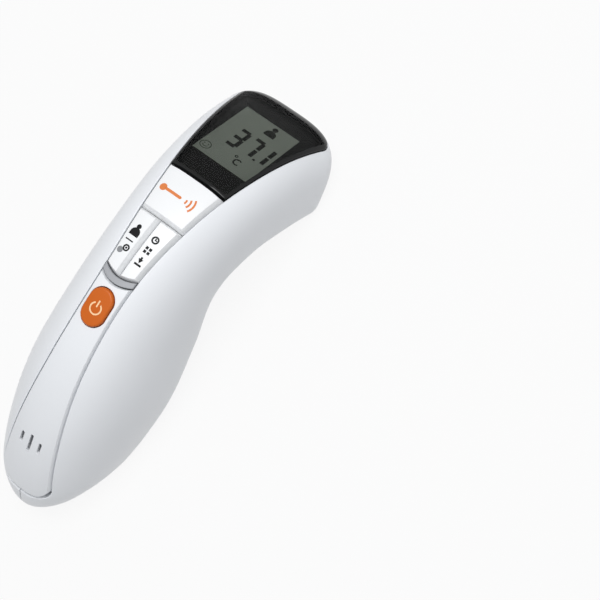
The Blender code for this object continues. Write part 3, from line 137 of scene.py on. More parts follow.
# ---------------------------------------------------------------- looks only
DISPLAY_OPENING = (0.01355, 0.01015)            # half length and half width of what shows of the display
FILM_BOTTOM, FILM_TOP = 0.00002, 0.0001
FILM_LAP = 0.0003                               # how far the display's film reaches under its frame
STRIP_START = 0.0016                            # the strip's tail end as seen, a little up from the parts'
BEZEL_DROP = 0.00012                            # room between the window and the black frame under it
TAIL_GROOVE = 0.0012                            # extra room between the panel's tail end and the housing
OPENING_FLARE = 0.0003                          # chamfer round the housing's opening
PANEL_RIM_SUNK = 0.0009                         # depth that the panel's sloped rim ends at
KEY_RIM_SUNK = 0.0009                           # depth that a key's sloped rim ends at
SLOT_EASE = 0.00004                             # how far the slots' mouths open beyond their channels
SLOT_LIP = 0.0009                               # thickness of the panel round the sound slots' mouths
SLOT_CHANNEL, SLOT_LOW = 0.0006, -0.0055        # a channel's extra width under its mouth, and its end
PRINT_CELL = 0.0006                             # prints are cut this finely to follow a curved face
WINDOW_VEIL = 0.25                              # how much the clear window hides
WINDOW_CLEAR = (("along", 0.014, 0.915), ("across", -0.95, 0.95))   # shares of the window without ink
WINDOW_BLUR = 0.006                             # share that the ink's edge fades over
POWER_ROUNDING = 0.0007                         # radius of the power button's edge
POWER_HOLE_LOW, POWER_HOLE_FLARE = -0.008, 0.0020       # tool for the power button's opening
RIM_ROUNDING = 0.00008                          # where a sloped rim leaves its face
CROWN_SAMPLES = 600                             # points that the crown line is measured at
STADIUM_SIDES = 48                              # faces round a slot or the power button
RIM_STEPS = 32                                  # faces along each side of the window's frame
WELD, CUT_WELD, FLAT = 1e-7, 1e-6, 1e-8         # distances: weld, weld after a Boolean, off a plane
SHARP_ANGLE = radians(30.0)                     # edges that bend more than this show as sharp
# station and lateral distance of the point that each print is drawn round
MEASURE_PRINT, MEMORY_PRINT = (0.11305, 0.0003), (0.0955, -0.0031)
MODE_PRINT, MODE_SECOND_PRINT = (0.0975, 0.0033), (0.0914, 0.00395)
DIGIT_WIDTH, DIGIT_STROKE, DIGIT_CLEARANCE = 0.0030, 0.00135, 0.0005
SCREW_PITCH, SCREW_THREAD_LENGTH, SCREW_THREAD_DEPTH = 0.0008, 0.0088, 0.00025
SCREW_BRIM, SCREW_DOME = 0.0007, 0.0008         # upright part of the head, and how far its dome draws in
SCREW_TIP, SCREW_PLAIN, SCREW_TAPER = 0.0008, 0.0010, 0.0002    # tip, start of the thread, thinner shank
CROSS_LONG, CROSS_SHORT, CROSS_DEPTH = 0.00125, 0.00026, 0.0009
NOSE_ROUNDING, NOSE_LIP_ROUNDING, NOSE_LIP_RADIUS = 0.0006, 0.0004, 0.0054
FLOOR_HEIGHT, FLOOR_HALF = -0.0002, 2.0
PAPER_GLOW = 0.90                               # share of the floor that shows as plain white
CAMERA_PLACE = Vector((0.03985, -0.15626, 0.44639))
CAMERA_RIGHT = Vector((0.57291, -0.78558, -0.23376))
CAMERA_UP = Vector((0.81914, 0.55859, 0.13038))
CAMERA_LENS, CAMERA_SENSOR = 89.80, 36.0
LAMP_AIM = (0.0, 0.0, 0.03)
WHITE = (1.0, 1.0, 1.0, 1.0)
SKY_LOW, SKY_HIGH = (0.13, 0.135, 0.14, 1.0), (0.53, 0.54, 0.555, 1.0)
LAMPS = (
    # name, place, size, power in watts
    ("key light", (0.22, -0.05, 0.88), 0.45, 4.9),
)
FLOW_WIDTH, HANDLING_WIDTH = 0.025, 0.009       # widths of a resin's tint drift and of worn patches
HANDLING_GLOSS = 0.015                          # how far handling moves a plastic's roughness


def linear(code):
    """Linear RGBA of an sRGB hex colour."""
    values = [int(code[i:i + 2], 16) / 255.0 for i in (1, 3, 5)]
    return tuple(v / 12.92 if v <= 0.04045 else ((v + 0.055) / 1.055)**2.4 for v in values) + (1.0,)


# ================================================================ settings
class ThermometerForm(bpy.types.PropertyGroup):
    """Sizes of what the looks add to the parts."""
    around: IntProperty(name="Housing sides", description="Faces round the housing",
                        default=128, min=32, max=256)
    edge: FloatProperty(name="Panel rim", description="Width of the sloped rim round the panel",
                        default=0.0004, min=0.0002, max=0.001, precision=5, subtype="DISTANCE", unit="LENGTH")
    bevel: FloatProperty(name="Key bevel",
                         description="Width of the sloped rim round the face of each white key",
                         default=0.0008, min=0.0002, max=0.0015, precision=5, subtype="DISTANCE",
                         unit="LENGTH")
    print_height: FloatProperty(name="Print height", description="Thickness of the printed symbols",
                                default=0.00003, min=0.00001, max=0.0002, precision=5, subtype="DISTANCE",
                                unit="LENGTH")
    digit: FloatProperty(name="Digit height", description="Height of the display's large digits",
                         default=0.0094, min=0.004, max=0.012, precision=4, subtype="DISTANCE", unit="LENGTH")


class ThermometerColours(bpy.types.PropertyGroup):
    """Colours of the finishes that show."""
    shell: FloatVectorProperty(name="Housing", description="Gloss white of the housing and panel",
                               subtype="COLOR", size=4, min=0.0, max=1.0, default=linear("#EEF0F3"))
    keys: FloatVectorProperty(name="Keys", description="White of the measure, mode and memory keys",
                              subtype="COLOR", size=4, min=0.0, max=1.0, default=linear("#F2F3F4"))
    frame: FloatVectorProperty(name="Key frame", description="Grey of the arc below the keys",
                               subtype="COLOR", size=4, min=0.0, max=1.0, default=linear("#A6A8AC"))
    power: FloatVectorProperty(name="Power button", description="Orange of the power button",
                               subtype="COLOR", size=4, min=0.0, max=1.0, default=linear("#CB610E"))
    lens: FloatVectorProperty(name="Window", description="Black behind the window's rim",
                              subtype="COLOR", size=4, min=0.0, max=1.0, default=linear("#161717"))
    lcd: FloatVectorProperty(name="Display", description="Background of the display",
                             subtype="COLOR", size=4, min=0.0, max=1.0, default=linear("#97A093"))
    ink: FloatVectorProperty(name="Orange ink", description="Printed symbol of the measure key",
                             subtype="COLOR", size=4, min=0.0, max=1.0, default=linear("#E0834A"))


def form():
    """Sizes set for this scene."""
    return bpy.context.scene.thermometer_form


def colours():
    """Colours set for this scene."""
    return bpy.context.scene.thermometer_colours


# ================================================================ the housing's form
def smooth(table, column, s):
    """Value of a column of a (station, ...) table at station s, on a Catmull-Rom curve."""
    stations = [row[0] for row in table]
    values = [row[column] for row in table]
    s = min(max(s, stations[0]), stations[-1])
    i = min(max(int(np.searchsorted(stations, s)) - 1, 0), len(table) - 2)

    def slope(j):
        """Rise over run between the neighbours of row j."""
        low, high = max(j - 1, 0), min(j + 1, len(table) - 1)
        return (values[high] - values[low]) / (stations[high] - stations[low])

    span = stations[i + 1] - stations[i]
    u = (s - stations[i]) / span
    return ((2 * u**3 - 3 * u**2 + 1) * values[i] + (u**3 - 2 * u**2 + u) * span * slope(i)
            + (3 * u**2 - 2 * u**3) * values[i + 1] + (u**3 - u**2) * span * slope(i + 1))


def crown_table():
    """Arc length, x, z and heading along the crown line, a cubic Bezier."""
    u = np.linspace(0.0, 1.0, CROWN_SAMPLES)[:, None]
    p0, p1, p2, p3 = (np.array(p) for p in CROWN_LINE)
    line = (1 - u)**3 * p0 + 3 * (1 - u)**2 * u * p1 + 3 * (1 - u) * u**2 * p2 + u**3 * p3
    rate = 3 * (1 - u)**2 * (p1 - p0) + 6 * (1 - u) * u * (p2 - p1) + 3 * u**2 * (p3 - p2)
    steps = np.linalg.norm(np.diff(line, axis=0), axis=1)
    length = np.concatenate([[0.0], np.cumsum(steps)])
    return length, line[:, 0], line[:, 1], np.arctan2(rate[:, 1], rate[:, 0])


CROWN = crown_table()


def crown(s):
    """x, z and heading of the crown line at station s; it runs on straight past its ends."""
    length, xs, zs, headings = CROWN
    inside = min(max(s, 0.0), length[-1])
    heading = float(np.interp(inside, length, headings))
    x = float(np.interp(inside, length, xs)) + (s - inside) * cos(heading)
    z = float(np.interp(inside, length, zs)) + (s - inside) * sin(heading)
    return x, z, heading


def place(s, y, depth):
    """Point at station s, lateral y and depth below the crown."""
    x, z, heading = crown(s)
    return Vector((x + depth * sin(heading), y, z - depth * cos(heading)))


def profile(s, inset=0.0):
    """Half width, crown depth, keel depth, squareness and top of the section at s."""
    width, rise, keel, square = (smooth(SECTIONS, column, s) for column in (1, 2, 3, 4))
    top = 0.0
    closing = (HEEL_START + inset - s) / HEEL_LENGTH
    if closing > 0.0:
        share = (1.0 - min(closing, 1.0)**HEEL_ROUNDNESS)**(1.0 / HEEL_ROUNDNESS)
        top = HEEL_CORE * (1.0 - share)
        width, rise, keel = width * share, rise * share, keel * share
    roll = (s + inset - BODY_LENGTH) / NOSE_LENGTH
    if roll > 0.0:
        fall = 1.0 - sqrt(1.0 - min(roll, 1.0)**2)
        top += NOSE_TOP_ROLL * fall
        rise -= NOSE_TOP_ROLL * fall
        width -= NOSE_SIDE_ROLL * fall
        keel -= NOSE_BOTTOM_ROLL * fall
    return width - inset, rise - inset, keel - inset, square, top + inset


def skin_depth(s, y, inset=0.0):
    """Depth of the housing's skin, or of the skin inset by a wall, under lateral y."""
    width, rise, _, square, top = profile(s, inset)
    share = min(abs(y) / width, 0.995)
    return top + rise * (1.0 - (1.0 - share**square)**(1.0 / square))


def on_skin(s, y, proud=0.0):
    """Point above the skin at station s and lateral y."""
    return place(s, y, skin_depth(s, y) - proud)


def section(s, inset, count):
    """Points (lateral, depth) spaced evenly round the section at s, from its left flank over the crown."""
    width, rise, keel, square, top = profile(s, inset)
    turns = np.linspace(0.0, pi, 400)
    halves = []
    for power, reach, sign in ((square, rise, -1.0), (KEEL_SQUARENESS, keel, 1.0)):
        lateral = max(width, 0.0) * np.sign(np.cos(turns)) * np.abs(np.cos(turns))**(2.0 / power)
        depth = top + rise + sign * max(reach, 0.0) * np.abs(np.sin(turns))**(2.0 / power)
        if sign > 0.0:
            lateral = -lateral
        steps = np.hypot(np.diff(lateral), np.diff(depth))
        length = np.concatenate([[0.0], np.cumsum(steps)])
        share = np.linspace(0.0, length[-1], count // 2 + 1)[:-1]
        halves.append(np.stack([np.interp(share, length, lateral), np.interp(share, length, depth)], 1))
    return np.concatenate(halves)


def strip_half(s, start=STRIP_START):
    """Half width of the strip, rounded where it starts and drawn in over the nose."""
    half = smooth(STRIP, 1, s)
    past = max(s - start, 0.0)
    if past < STRIP_END_RADIUS:
        half -= STRIP_END_RADIUS - sqrt(STRIP_END_RADIUS**2 - (STRIP_END_RADIUS - past)**2)
    if s > BODY_LENGTH:
        half -= WINDOW_SIDE_ROLL * (1.0 - sqrt(1.0 - min((s - BODY_LENGTH) / NOSE_LENGTH, 1.0)**2))
    return half


def station_frame(s, depth=0.0):
    """Axes on the crown at s: X toward the head, Z outward, lowered by depth."""
    return Matrix.Translation(place(s, 0.0, depth)) @ Matrix.Rotation(-crown(s)[2], 4, "Y")


def side_frame(s, depth):
    """Axes with Z along the part's Y, for what runs across the housing."""
    return Matrix.Translation(place(s, 0.0, depth)) @ Matrix.Rotation(-pi / 2.0, 4, "X")


PARTS = Matrix.Identity(4)
POWER = station_frame(POWER_STATION)
KEYS = station_frame(KEY_BOARD_STATION)
DISPLAY = station_frame(DISPLAY_STATION, DISPLAY_DEPTH)
NOSE = station_frame(BODY_LENGTH, NOSE_AXIS_DEPTH)
NOSE_TURN = NOSE @ Matrix.Rotation(pi / 2.0, 4, "Y")
BAY = Matrix.Translation((BAY_CENTRE[0], 0.0, BAY_CENTRE[1])) @ Matrix.Rotation(-BAY_TILT, 4, "Y")


def arc(station):
    """End line of a strip piece that bows toward the tail."""
    return lambda y: station - ARC_SAG * (1.0 - (y / strip_half(station))**2)


def straight(station):
    """End line square across the strip."""
    return lambda y: station


def strip_right(s):
    """Right edge of a strip piece at a station."""
    return -strip_half(s) + GAP


def strip_left(s):
    """Left edge of a strip piece at a station."""
    return strip_half(s) - GAP


def even(count):
    """Even shares from 0 to 1."""
    return list(np.linspace(0.0, 1.0, count))


def ends(count):
    """Shares from -1 to 1 that lie closer together toward the ends."""
    return [sin(a) for a in np.linspace(-pi / 2.0, pi / 2.0, count + 1)]


def level(margin, inset, depth):
    """Layer of a skin_solid that is drawn in by one margin on all four sides."""
    return (margin, margin, margin, margin, inset, depth)


def shares(stations):
    """How far each station lies from the first to the last."""
    return [(s - stations[0]) / (stations[-1] - stations[0]) for s in stations]


def tail_run(start, first, count):
    """Stations round the strip's tail corners, from a first turn to a quarter turn."""
    return [start + STRIP_END_RADIUS * (1.0 - cos(a)) for a in np.linspace(first, pi / 2.0, count)]


# ================================================================ building with bmesh
def is_bent(face):
    """Whether a face's corners lie off one plane."""
    face.normal_update()
    corner = face.verts[0].co
    return any(abs((vert.co - corner).dot(face.normal)) > FLAT for vert in face.verts)


def to_object(build, name, close=True):
    """Object at the origin from a bmesh, with merged doubles and faces outward."""
    bmesh.ops.remove_doubles(build, verts=build.verts, dist=WELD)
    bmesh.ops.dissolve_degenerate(build, edges=build.edges, dist=FLAT)
    bmesh.ops.triangulate(build, faces=[face for face in build.faces if is_bent(face)])
    if close:
        bmesh.ops.recalc_face_normals(build, faces=build.faces)
    mesh = bpy.data.meshes.new(name)
    build.to_mesh(mesh)
    build.free()
    mesh.shade_smooth()
    mesh.set_sharp_from_angle(angle=SHARP_ANGLE)
    made = bpy.data.objects.new(name, mesh)
    bpy.context.scene.collection.objects.link(made)
    return made


def extruded_rim(build, rim):
    """Extrude open edges; returns the new vertices and the new open edges."""
    out = bmesh.ops.extrude_edge_only(build, edges=rim)["geom"]
    verts = [g for g in out if isinstance(g, bmesh.types.BMVert)]
    fresh = set(verts)
    edges = [g for g in out if isinstance(g, bmesh.types.BMEdge) and all(v in fresh for v in g.verts)]
    return verts, edges


def numbered_ring(count):
    """New bmesh with a ring of vertices, its rim, and the layer that numbers the vertices round it."""
    build = bmesh.new()
    index = build.verts.layers.int.new("place in ring")
    verts = bmesh.ops.create_circle(build, segments=count, radius=1.0, cap_ends=False)["verts"]
    for vert in verts:
        turns = (np.arctan2(vert.co.y, vert.co.x) % (2.0 * pi)) / (2.0 * pi)
        vert[index] = round(turns * count) % count
    return build, verts, list(build.edges), index


def body_loft(name, stations, inset, around):
    """Closed form of the housing through its sections."""
    build, verts, rim, index = numbered_ring(around)
    for k, s in enumerate(stations):
        if k:
            verts, rim = extruded_rim(build, rim)
        ring = section(s, inset, around)
        for vert in verts:
            vert.co = place(s, *(float(value) for value in ring[vert[index]]))
    bmesh.ops.remove_doubles(build, verts=build.verts, dist=WELD)
    bmesh.ops.holes_fill(build, edges=[e for e in build.edges if e.is_boundary])
    return to_object(build, name)


def skin_solid(name, tail, head, right, left, layers, rows, columns):
    """Solid laid on the housing's skin.

    tail and head give the end stations at a lateral distance, right and left the edges at a station. A
    layer is (tail, head, right, left margins, inset, depth below the skin, or below the skin inset).
    """
    build = bmesh.new()
    along = build.verts.layers.float.new("along")
    across = build.verts.layers.float.new("across")

    def lay(verts, layer):
        """Put vertices on a layer, by their places along and across."""
        from_tail, from_head, from_right, from_left, inset, depth = layer

        def lateral(s, v):
            """Lateral distance at station s of a share across."""
            low, high = right(s) + from_right, left(s) - from_left
            return low + (high - low) * (v + 1.0) / 2.0

        for vert in verts:
            u, v = vert[along], vert[across]
            start = tail(lateral(tail(0.0), v)) + from_tail
            end = head(lateral(head(0.0), v)) - from_head
            s = start + (end - start) * u
            y = lateral(s, v)
            below = depth(s) if callable(depth) else depth
            vert.co = place(s, y, skin_depth(s, y, inset) + below)

    def sheet(layer):
        """Lay a grid of faces on a layer."""
        verts = bmesh.ops.create_grid(build, x_segments=len(columns) - 1, y_segments=len(rows) - 1,
                                      size=1.0)["verts"]
        for vert in verts:
            vert[across] = columns[round((vert.co.x + 1.0) / 2.0 * (len(columns) - 1))]
            vert[along] = rows[round((vert.co.y + 1.0) / 2.0 * (len(rows) - 1))]
        lay(verts, layer)

    sheet(layers[0])
    rim = [e for e in build.edges if e.is_boundary]
    for layer in layers[1:]:
        verts, rim = extruded_rim(build, rim)
        lay(verts, layer)
    sheet(layers[-1])
    return to_object(build, name)


def block(name, axes, xs, ys, zs):
    """Box between two values on each axis."""
    build = bmesh.new()
    bmesh.ops.create_cube(build, size=1.0)
    for vert in build.verts:
        x, y, z = (bounds[0] if value < 0.0 else bounds[1] for value, bounds in zip(vert.co, (xs, ys, zs)))
        vert.co = axes @ Vector((x, y, z))
    return to_object(build, name)


def rod(name, axes, radius, zs, segments=48):
    """Cylinder along the Z of its axes."""
    build = bmesh.new()
    bmesh.ops.create_cone(build, cap_ends=True, segments=segments, radius1=radius, radius2=radius,
                          depth=zs[1] - zs[0])
    bmesh.ops.translate(build, verts=build.verts, vec=(0.0, 0.0, (zs[0] + zs[1]) / 2.0))
    bmesh.ops.transform(build, verts=build.verts, matrix=axes)
    return to_object(build, name)


def turned(name, axes, outline, segments=96):
    """Solid turned about the X of its axes from a closed outline of (x, radius) points."""
    build = bmesh.new()
    points = [build.verts.new((x, 0.0, radius)) for x, radius in outline]
    edges = [build.edges.new((points[i - 1], points[i])) for i in range(len(points))]
    bmesh.ops.spin(build, geom=points + edges, cent=(0, 0, 0), axis=(1, 0, 0), dvec=(0, 0, 0),
                   angle=2.0 * pi, steps=segments, use_merge=True, use_duplicate=False)
    bmesh.ops.remove_doubles(build, verts=build.verts, dist=WELD)
    bmesh.ops.delete(build, geom=[e for e in build.edges if not e.link_faces], context="EDGES")
    bmesh.ops.transform(build, matrix=axes, verts=build.verts)
    return to_object(build, name)


def stadium(name, axes, half, layers):
    """Solid through stadium outlines of a half length and half width; a layer is (growth, height)."""
    build, verts, rim, index = numbered_ring(STADIUM_SIDES)
    run = half[0] - half[1]
    for k, (growth, height) in enumerate(layers):
        if k:
            verts, rim = extruded_rim(build, rim)
        radius = half[1] + growth
        for vert in verts:
            turn = (2 * vert[index] + 1) * pi / STADIUM_SIDES
            end = run if cos(turn) > 0.0 else -run
            vert.co = axes @ Vector((end + radius * cos(turn), radius * sin(turn), height))
    bmesh.ops.holes_fill(build, edges=[e for e in build.edges if e.is_boundary])
    return to_object(build, name)


def rim_loft(name, rims):
    """Ring through rims; a rim places an outline share (u, v), and the last closes on the first."""
    build, verts, run, index = numbered_ring(4 * RIM_STEPS)
    for k, rim in enumerate(rims):
        if k:
            verts, run = extruded_rim(build, run)
        for vert in verts:
            edge, step = divmod(vert[index], RIM_STEPS)
            along = 2.0 * step / RIM_STEPS - 1.0
            vert.co = rim(*((along, -1.0), (1.0, along), (-along, 1.0), (-1.0, -along))[edge])
    return to_object(build, name)


def cut(target, operation, *tools):
    """Exact Booleans on the target with each tool, which is then removed."""
    for tool in tools:
        step = target.modifiers.new("cut", "BOOLEAN")
        step.solver = "EXACT"
        step.operation = operation
        step.object = tool
        bpy.context.view_layer.update()
        graph = bpy.context.evaluated_depsgraph_get()
        mesh = bpy.data.meshes.new_from_object(target.evaluated_get(graph))
        target.modifiers.clear()
        spent = (target.data, tool.data)
        target.data = mesh
        bpy.data.objects.remove(tool)
        for old in spent:
            bpy.data.meshes.remove(old)
    build = bmesh.new()
    build.from_mesh(target.data)
    bmesh.ops.remove_doubles(build, verts=build.verts, dist=CUT_WELD)
    build.to_mesh(target.data)
    build.free()
    target.data.shade_smooth()
    target.data.set_sharp_from_angle(angle=SHARP_ANGLE)
    return target


def twin(source, name):
    """Separate copy of an object and its mesh."""
    made = source.copy()
    made.data = source.data.copy()
    made.name = name
    bpy.context.scene.collection.objects.link(made)
    return made


def dressed(piece, name, finish, body, *nodes):
    """Name a piece, give it its finish, let it ride on its body and stand for its parts."""
    piece.name = name
    piece.data.name = name
    piece.data.materials.clear()
    piece.data.materials.append(finish)
    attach(piece, body)
    if nodes:
        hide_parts(*nodes)


# ================================================================ finishes
def add(tree, kind, settings=None, inputs=None):
    """Add a node with its settings, and fill its inputs with values or links."""
    made = tree.nodes.new(kind)
    for name, value in (settings or {}).items():
        setattr(made, name, value)
    for name, value in (inputs or {}).items():
        if isinstance(value, bpy.types.NodeSocket):
            tree.links.new(value, made.inputs[name])
        else:
            made.inputs[name].default_value = value
    return made


def begun(name):
    """New material, its empty tree, and the socket of its piece's own coordinates."""
    made = bpy.data.materials.new(name)
    made.use_nodes = True
    tree = made.node_tree
    tree.nodes.clear()
    return made, tree, add(tree, "ShaderNodeTexCoord").outputs["Object"]


def shaded(colour, share):
    """A colour made darker or lighter by a share."""
    return tuple(value * share for value in colour[:3]) + (1.0,)


def moulded(name, colour, roughness, peel, depth, flow=0.02, ior=1.53, shine=0.5):
    """Injection-moulded plastic.

    The resin's flow tints it by a few parts in a hundred over 25 mm, the tool's polish or etch leaves
    grain of the given width and depth, and handling leaves patches of another gloss 9 mm wide.
    """
    made, tree, coords = begun(name)
    drift = add(tree, "ShaderNodeTexNoise", {}, {"Vector": coords, "Scale": 1.0 / FLOW_WIDTH, "Detail": 2.0})
    tint = add(tree, "ShaderNodeMix", {"data_type": "RGBA"}, {
        0: drift.outputs["Fac"], 6: shaded(colour, 1.0 - flow), 7: shaded(colour, 1.0 + flow)})
    handling = add(tree, "ShaderNodeTexNoise", {}, {
        "Vector": coords, "Scale": 1.0 / HANDLING_WIDTH, "Detail": 4.0, "Roughness": 0.6})
    gloss = add(tree, "ShaderNodeMapRange", {}, {
        "Value": handling.outputs["Fac"], "From Min": 0.3, "From Max": 0.7,
        "To Min": roughness - HANDLING_GLOSS, "To Max": roughness + HANDLING_GLOSS})
    grain = add(tree, "ShaderNodeTexNoise", {}, {"Vector": coords, "Scale": 1.0 / peel, "Detail": 3.0})
    bump = add(tree, "ShaderNodeBump", {}, {"Height": grain.outputs["Fac"], "Distance": depth})
    shader = add(tree, "ShaderNodeBsdfPrincipled", {}, {
        "Base Color": tint.outputs[2], "Roughness": gloss.outputs[0], "Normal": bump.outputs[0], "IOR": ior,
        "Specular IOR Level": shine})
    add(tree, "ShaderNodeOutputMaterial", {}, {"Surface": shader.outputs[0]})
    return made


def lined(name, colour, roughness, line, stretch, metallic=1.0):
    """Metal with fine drawn, rolled or turned lines; stretch scales each axis against the lines."""
    made, tree, coords = begun(name)
    along = add(tree, "ShaderNodeMapping", {}, {"Vector": coords, "Scale": stretch})
    drawn = add(tree, "ShaderNodeTexNoise", {}, {
        "Vector": along.outputs[0], "Scale": 1.0 / line, "Detail": 3.0})
    tone = add(tree, "ShaderNodeMix", {"data_type": "RGBA"}, {
        0: drawn.outputs["Fac"], 6: shaded(colour, 0.88), 7: shaded(colour, 1.05)})
    gloss = add(tree, "ShaderNodeMapRange", {}, {
        "Value": drawn.outputs["Fac"], "To Min": roughness - 0.08, "To Max": roughness + 0.12})
    bump = add(tree, "ShaderNodeBump", {}, {"Height": drawn.outputs["Fac"], "Distance": 0.00001})
    shader = add(tree, "ShaderNodeBsdfPrincipled", {}, {
        "Base Color": tone.outputs[2], "Roughness": gloss.outputs[0], "Normal": bump.outputs[0],
        "Metallic": metallic})
    add(tree, "ShaderNodeOutputMaterial", {}, {"Surface": shader.outputs[0]})
    return made


def banded(name, first, second, width, roughness):
    """Material of two alternating bands across the part, each of a width in metres."""
    made, tree, coords = begun(name)
    bands = add(tree, "ShaderNodeTexWave", {"bands_direction": "Y"}, {
        "Vector": coords, "Scale": pi / (10.0 * width)})
    edge = add(tree, "ShaderNodeMapRange", {}, {
        "Value": bands.outputs["Fac"], "From Min": 0.4, "From Max": 0.6})
    tone = add(tree, "ShaderNodeMix", {"data_type": "RGBA"}, {0: edge.outputs[0], 6: first, 7: second})
    shader = add(tree, "ShaderNodeBsdfPrincipled", {}, {
        "Base Color": tone.outputs[2], "Roughness": roughness})
    add(tree, "ShaderNodeOutputMaterial", {}, {"Surface": shader.outputs[0]})
    return made


@cache
def housing_white():
    """Glossy white ABS from a polished tool: broad soft highlights, a peel 1.5 mm wide hardly seen."""
    return moulded("ABS, moulded in a polished tool", colours().shell, 0.30, 0.0015, 0.000003)


@cache
def key_white():
    """Satin white ABS from a finely etched tool: no clear highlight, grain 0.3 mm wide."""
    return moulded("ABS, moulded in an etched tool", colours().keys, 0.42, 0.0003, 0.000004)


@cache
def frame_grey():
    """Grey satin ABS: darker than its neighbours and as dull as the keys."""
    return moulded("ABS, grey, moulded in an etched tool", colours().frame, 0.45, 0.0003, 0.000006)


@cache
def power_orange():
    """Orange satin ABS, with the deeper tone that a strong pigment takes where it flows."""
    return moulded("ABS, orange, moulded", colours().power, 0.40, 0.0006, 0.000004, flow=0.06, shine=0.3)


@cache
def bezel_black():
    """Black PC/ABS from a spark-eroded tool: dull, so that the window over it looks deep."""
    return moulded("PC/ABS, black, moulded in an eroded tool", linear("#131413"), 0.6, 0.0004, 0.000003,
                   shine=0.1)


@cache
def inside_black():
    """Black PC/ABS of pieces inside: half dull, with coarse tool marks."""
    return moulded("PC/ABS, black, moulded", linear("#1D1E20"), 0.5, 0.0006, 0.00001)


@cache
def stem_grey():
    """Grey acetal of the switch stems: waxy, since it carries its own lubricant."""
    return moulded("POM, moulded", linear("#8E9092"), 0.45, 0.0004, 0.000006, ior=1.48)


@cache
def segment_dark():
    """Display segment that is switched on: it blocks the reflector behind it."""
    return moulded("Liquid crystal segment, switched on", linear("#171A14"), 0.4, 0.0005, 0.000001, shine=0.1)


@cache
def segment_faint():
    """Display segment that is nearly off: a shade under the display's own tone."""
    return moulded("Liquid crystal segment, nearly off", linear("#565D54"), 0.4, 0.0005, 0.000001, shine=0.1)


@cache
def orange_ink():
    """Pad-printed ink: a thin even film, duller than the key under it."""
    return moulded("Pad-printing ink, orange", colours().ink, 0.5, 0.0002, 0.000003, shine=0.2)


@cache
def cream_ink():
    """Pad-printed ink: cream, so that it reads on the orange button."""
    return moulded("Pad-printing ink, cream", linear("#FBD2A2"), 0.5, 0.0002, 0.000003)


@cache
def black_ink():
    """Pad-printed ink: nearly black and dull."""
    return moulded("Pad-printing ink, black", linear("#101113"), 0.5, 0.0002, 0.000003, shine=0.15)


@cache
def grey_ink():
    """Half-tone of the black ink, for the lighter of the two small discs."""
    return moulded("Pad-printing ink, grey", linear("#85878A"), 0.5, 0.0002, 0.000003)


@cache
def wire_red():
    """Soft PVC drawn over copper: a waxy sheen with faint ripples 0.8 mm apart."""
    return moulded("PVC, red, extruded", linear("#B3201C"), 0.45, 0.0008, 0.00001)


@cache
def wire_black():
    """Soft PVC drawn over copper, as the red one."""
    return moulded("PVC, black, extruded", linear("#1A1A1C"), 0.45, 0.0008, 0.00001)


@cache
def contact_steel():
    """Nickel-plated spring steel: a warm bright metal with the lines of its rolling, 0.4 mm apart."""
    return lined("Spring steel, rolled and nickel-plated", linear("#C9C6BE"), 0.28, 0.0004, (0.15, 1.0, 1.0))


@cache
def screw_steel():
    """Zinc-plated steel: a cool bright metal without direction."""
    return lined("Steel, formed and zinc-plated", linear("#B9BBC0"), 0.33, 0.0003, (1.0, 1.0, 1.0))


@cache
def turned_aluminium():
    """Turned aluminium: pale and half dull, its tool lines drawn 0.3 mm apart so that they show."""
    return lined("Aluminium, turned", linear("#CDD0D4"), 0.32, 0.0003, (6.0, 0.4, 0.4))


@cache
def infrared_filter():
    """Silicon filter, polished and coated: a dark violet mirror."""
    return lined("Silicon, polished and coated", linear("#3A2A40"), 0.14, 0.002, (1.0, 1.0, 1.0), 0.6)


@cache
def cell_jacket():
    """Printed shrink film on a steel can: a deep blue with a metallic ground."""
    return lined("Steel can in printed shrink film", linear("#27406B"), 0.35, 0.001, (0.3, 1.0, 1.0), 0.3)


@cache
def zebra_rubber():
    """Sliced silicone of dark and clear layers; drawn 0.5 mm wide, since the real ones don't show."""
    return banded("Silicone, layered and sliced", linear("#1C1C1D"), linear("#A7A39A"), 0.0005, 0.7)


@cache
def flat_flex():
    """Polyimide film over copper lines 0.6 mm wide: amber, lighter over the copper."""
    return banded("Polyimide, laminated over copper", linear("#B5661C"), linear("#D08A3A"), 0.0006, 0.35)


@cache
def circuit_green():
    """Solder mask on glass-epoxy: dark green, lighter over copper areas, with a weave 0.6 mm wide."""
    made, tree, coords = begun("FR4 laminate, solder-masked")
    cells = add(tree, "ShaderNodeTexVoronoi", {"feature": "DISTANCE_TO_EDGE"}, {
        "Vector": coords, "Scale": 1.0 / 0.0022})
    copper = add(tree, "ShaderNodeMapRange", {}, {
        "Value": cells.outputs[0], "From Min": 0.08, "From Max": 0.11})
    tone = add(tree, "ShaderNodeMix", {"data_type": "RGBA"}, {
        0: copper.outputs[0], 6: linear("#0B4A26"), 7: linear("#17693A")})
    weave = add(tree, "ShaderNodeTexNoise", {}, {"Vector": coords, "Scale": 1.0 / 0.0006})
    bump = add(tree, "ShaderNodeBump", {}, {"Height": weave.outputs["Fac"], "Distance": 0.00001})
    shader = add(tree, "ShaderNodeBsdfPrincipled", {}, {
        "Base Color": tone.outputs[2], "Normal": bump.outputs[0], "Roughness": 0.32})
    add(tree, "ShaderNodeOutputMaterial", {}, {"Surface": shader.outputs[0]})
    return made


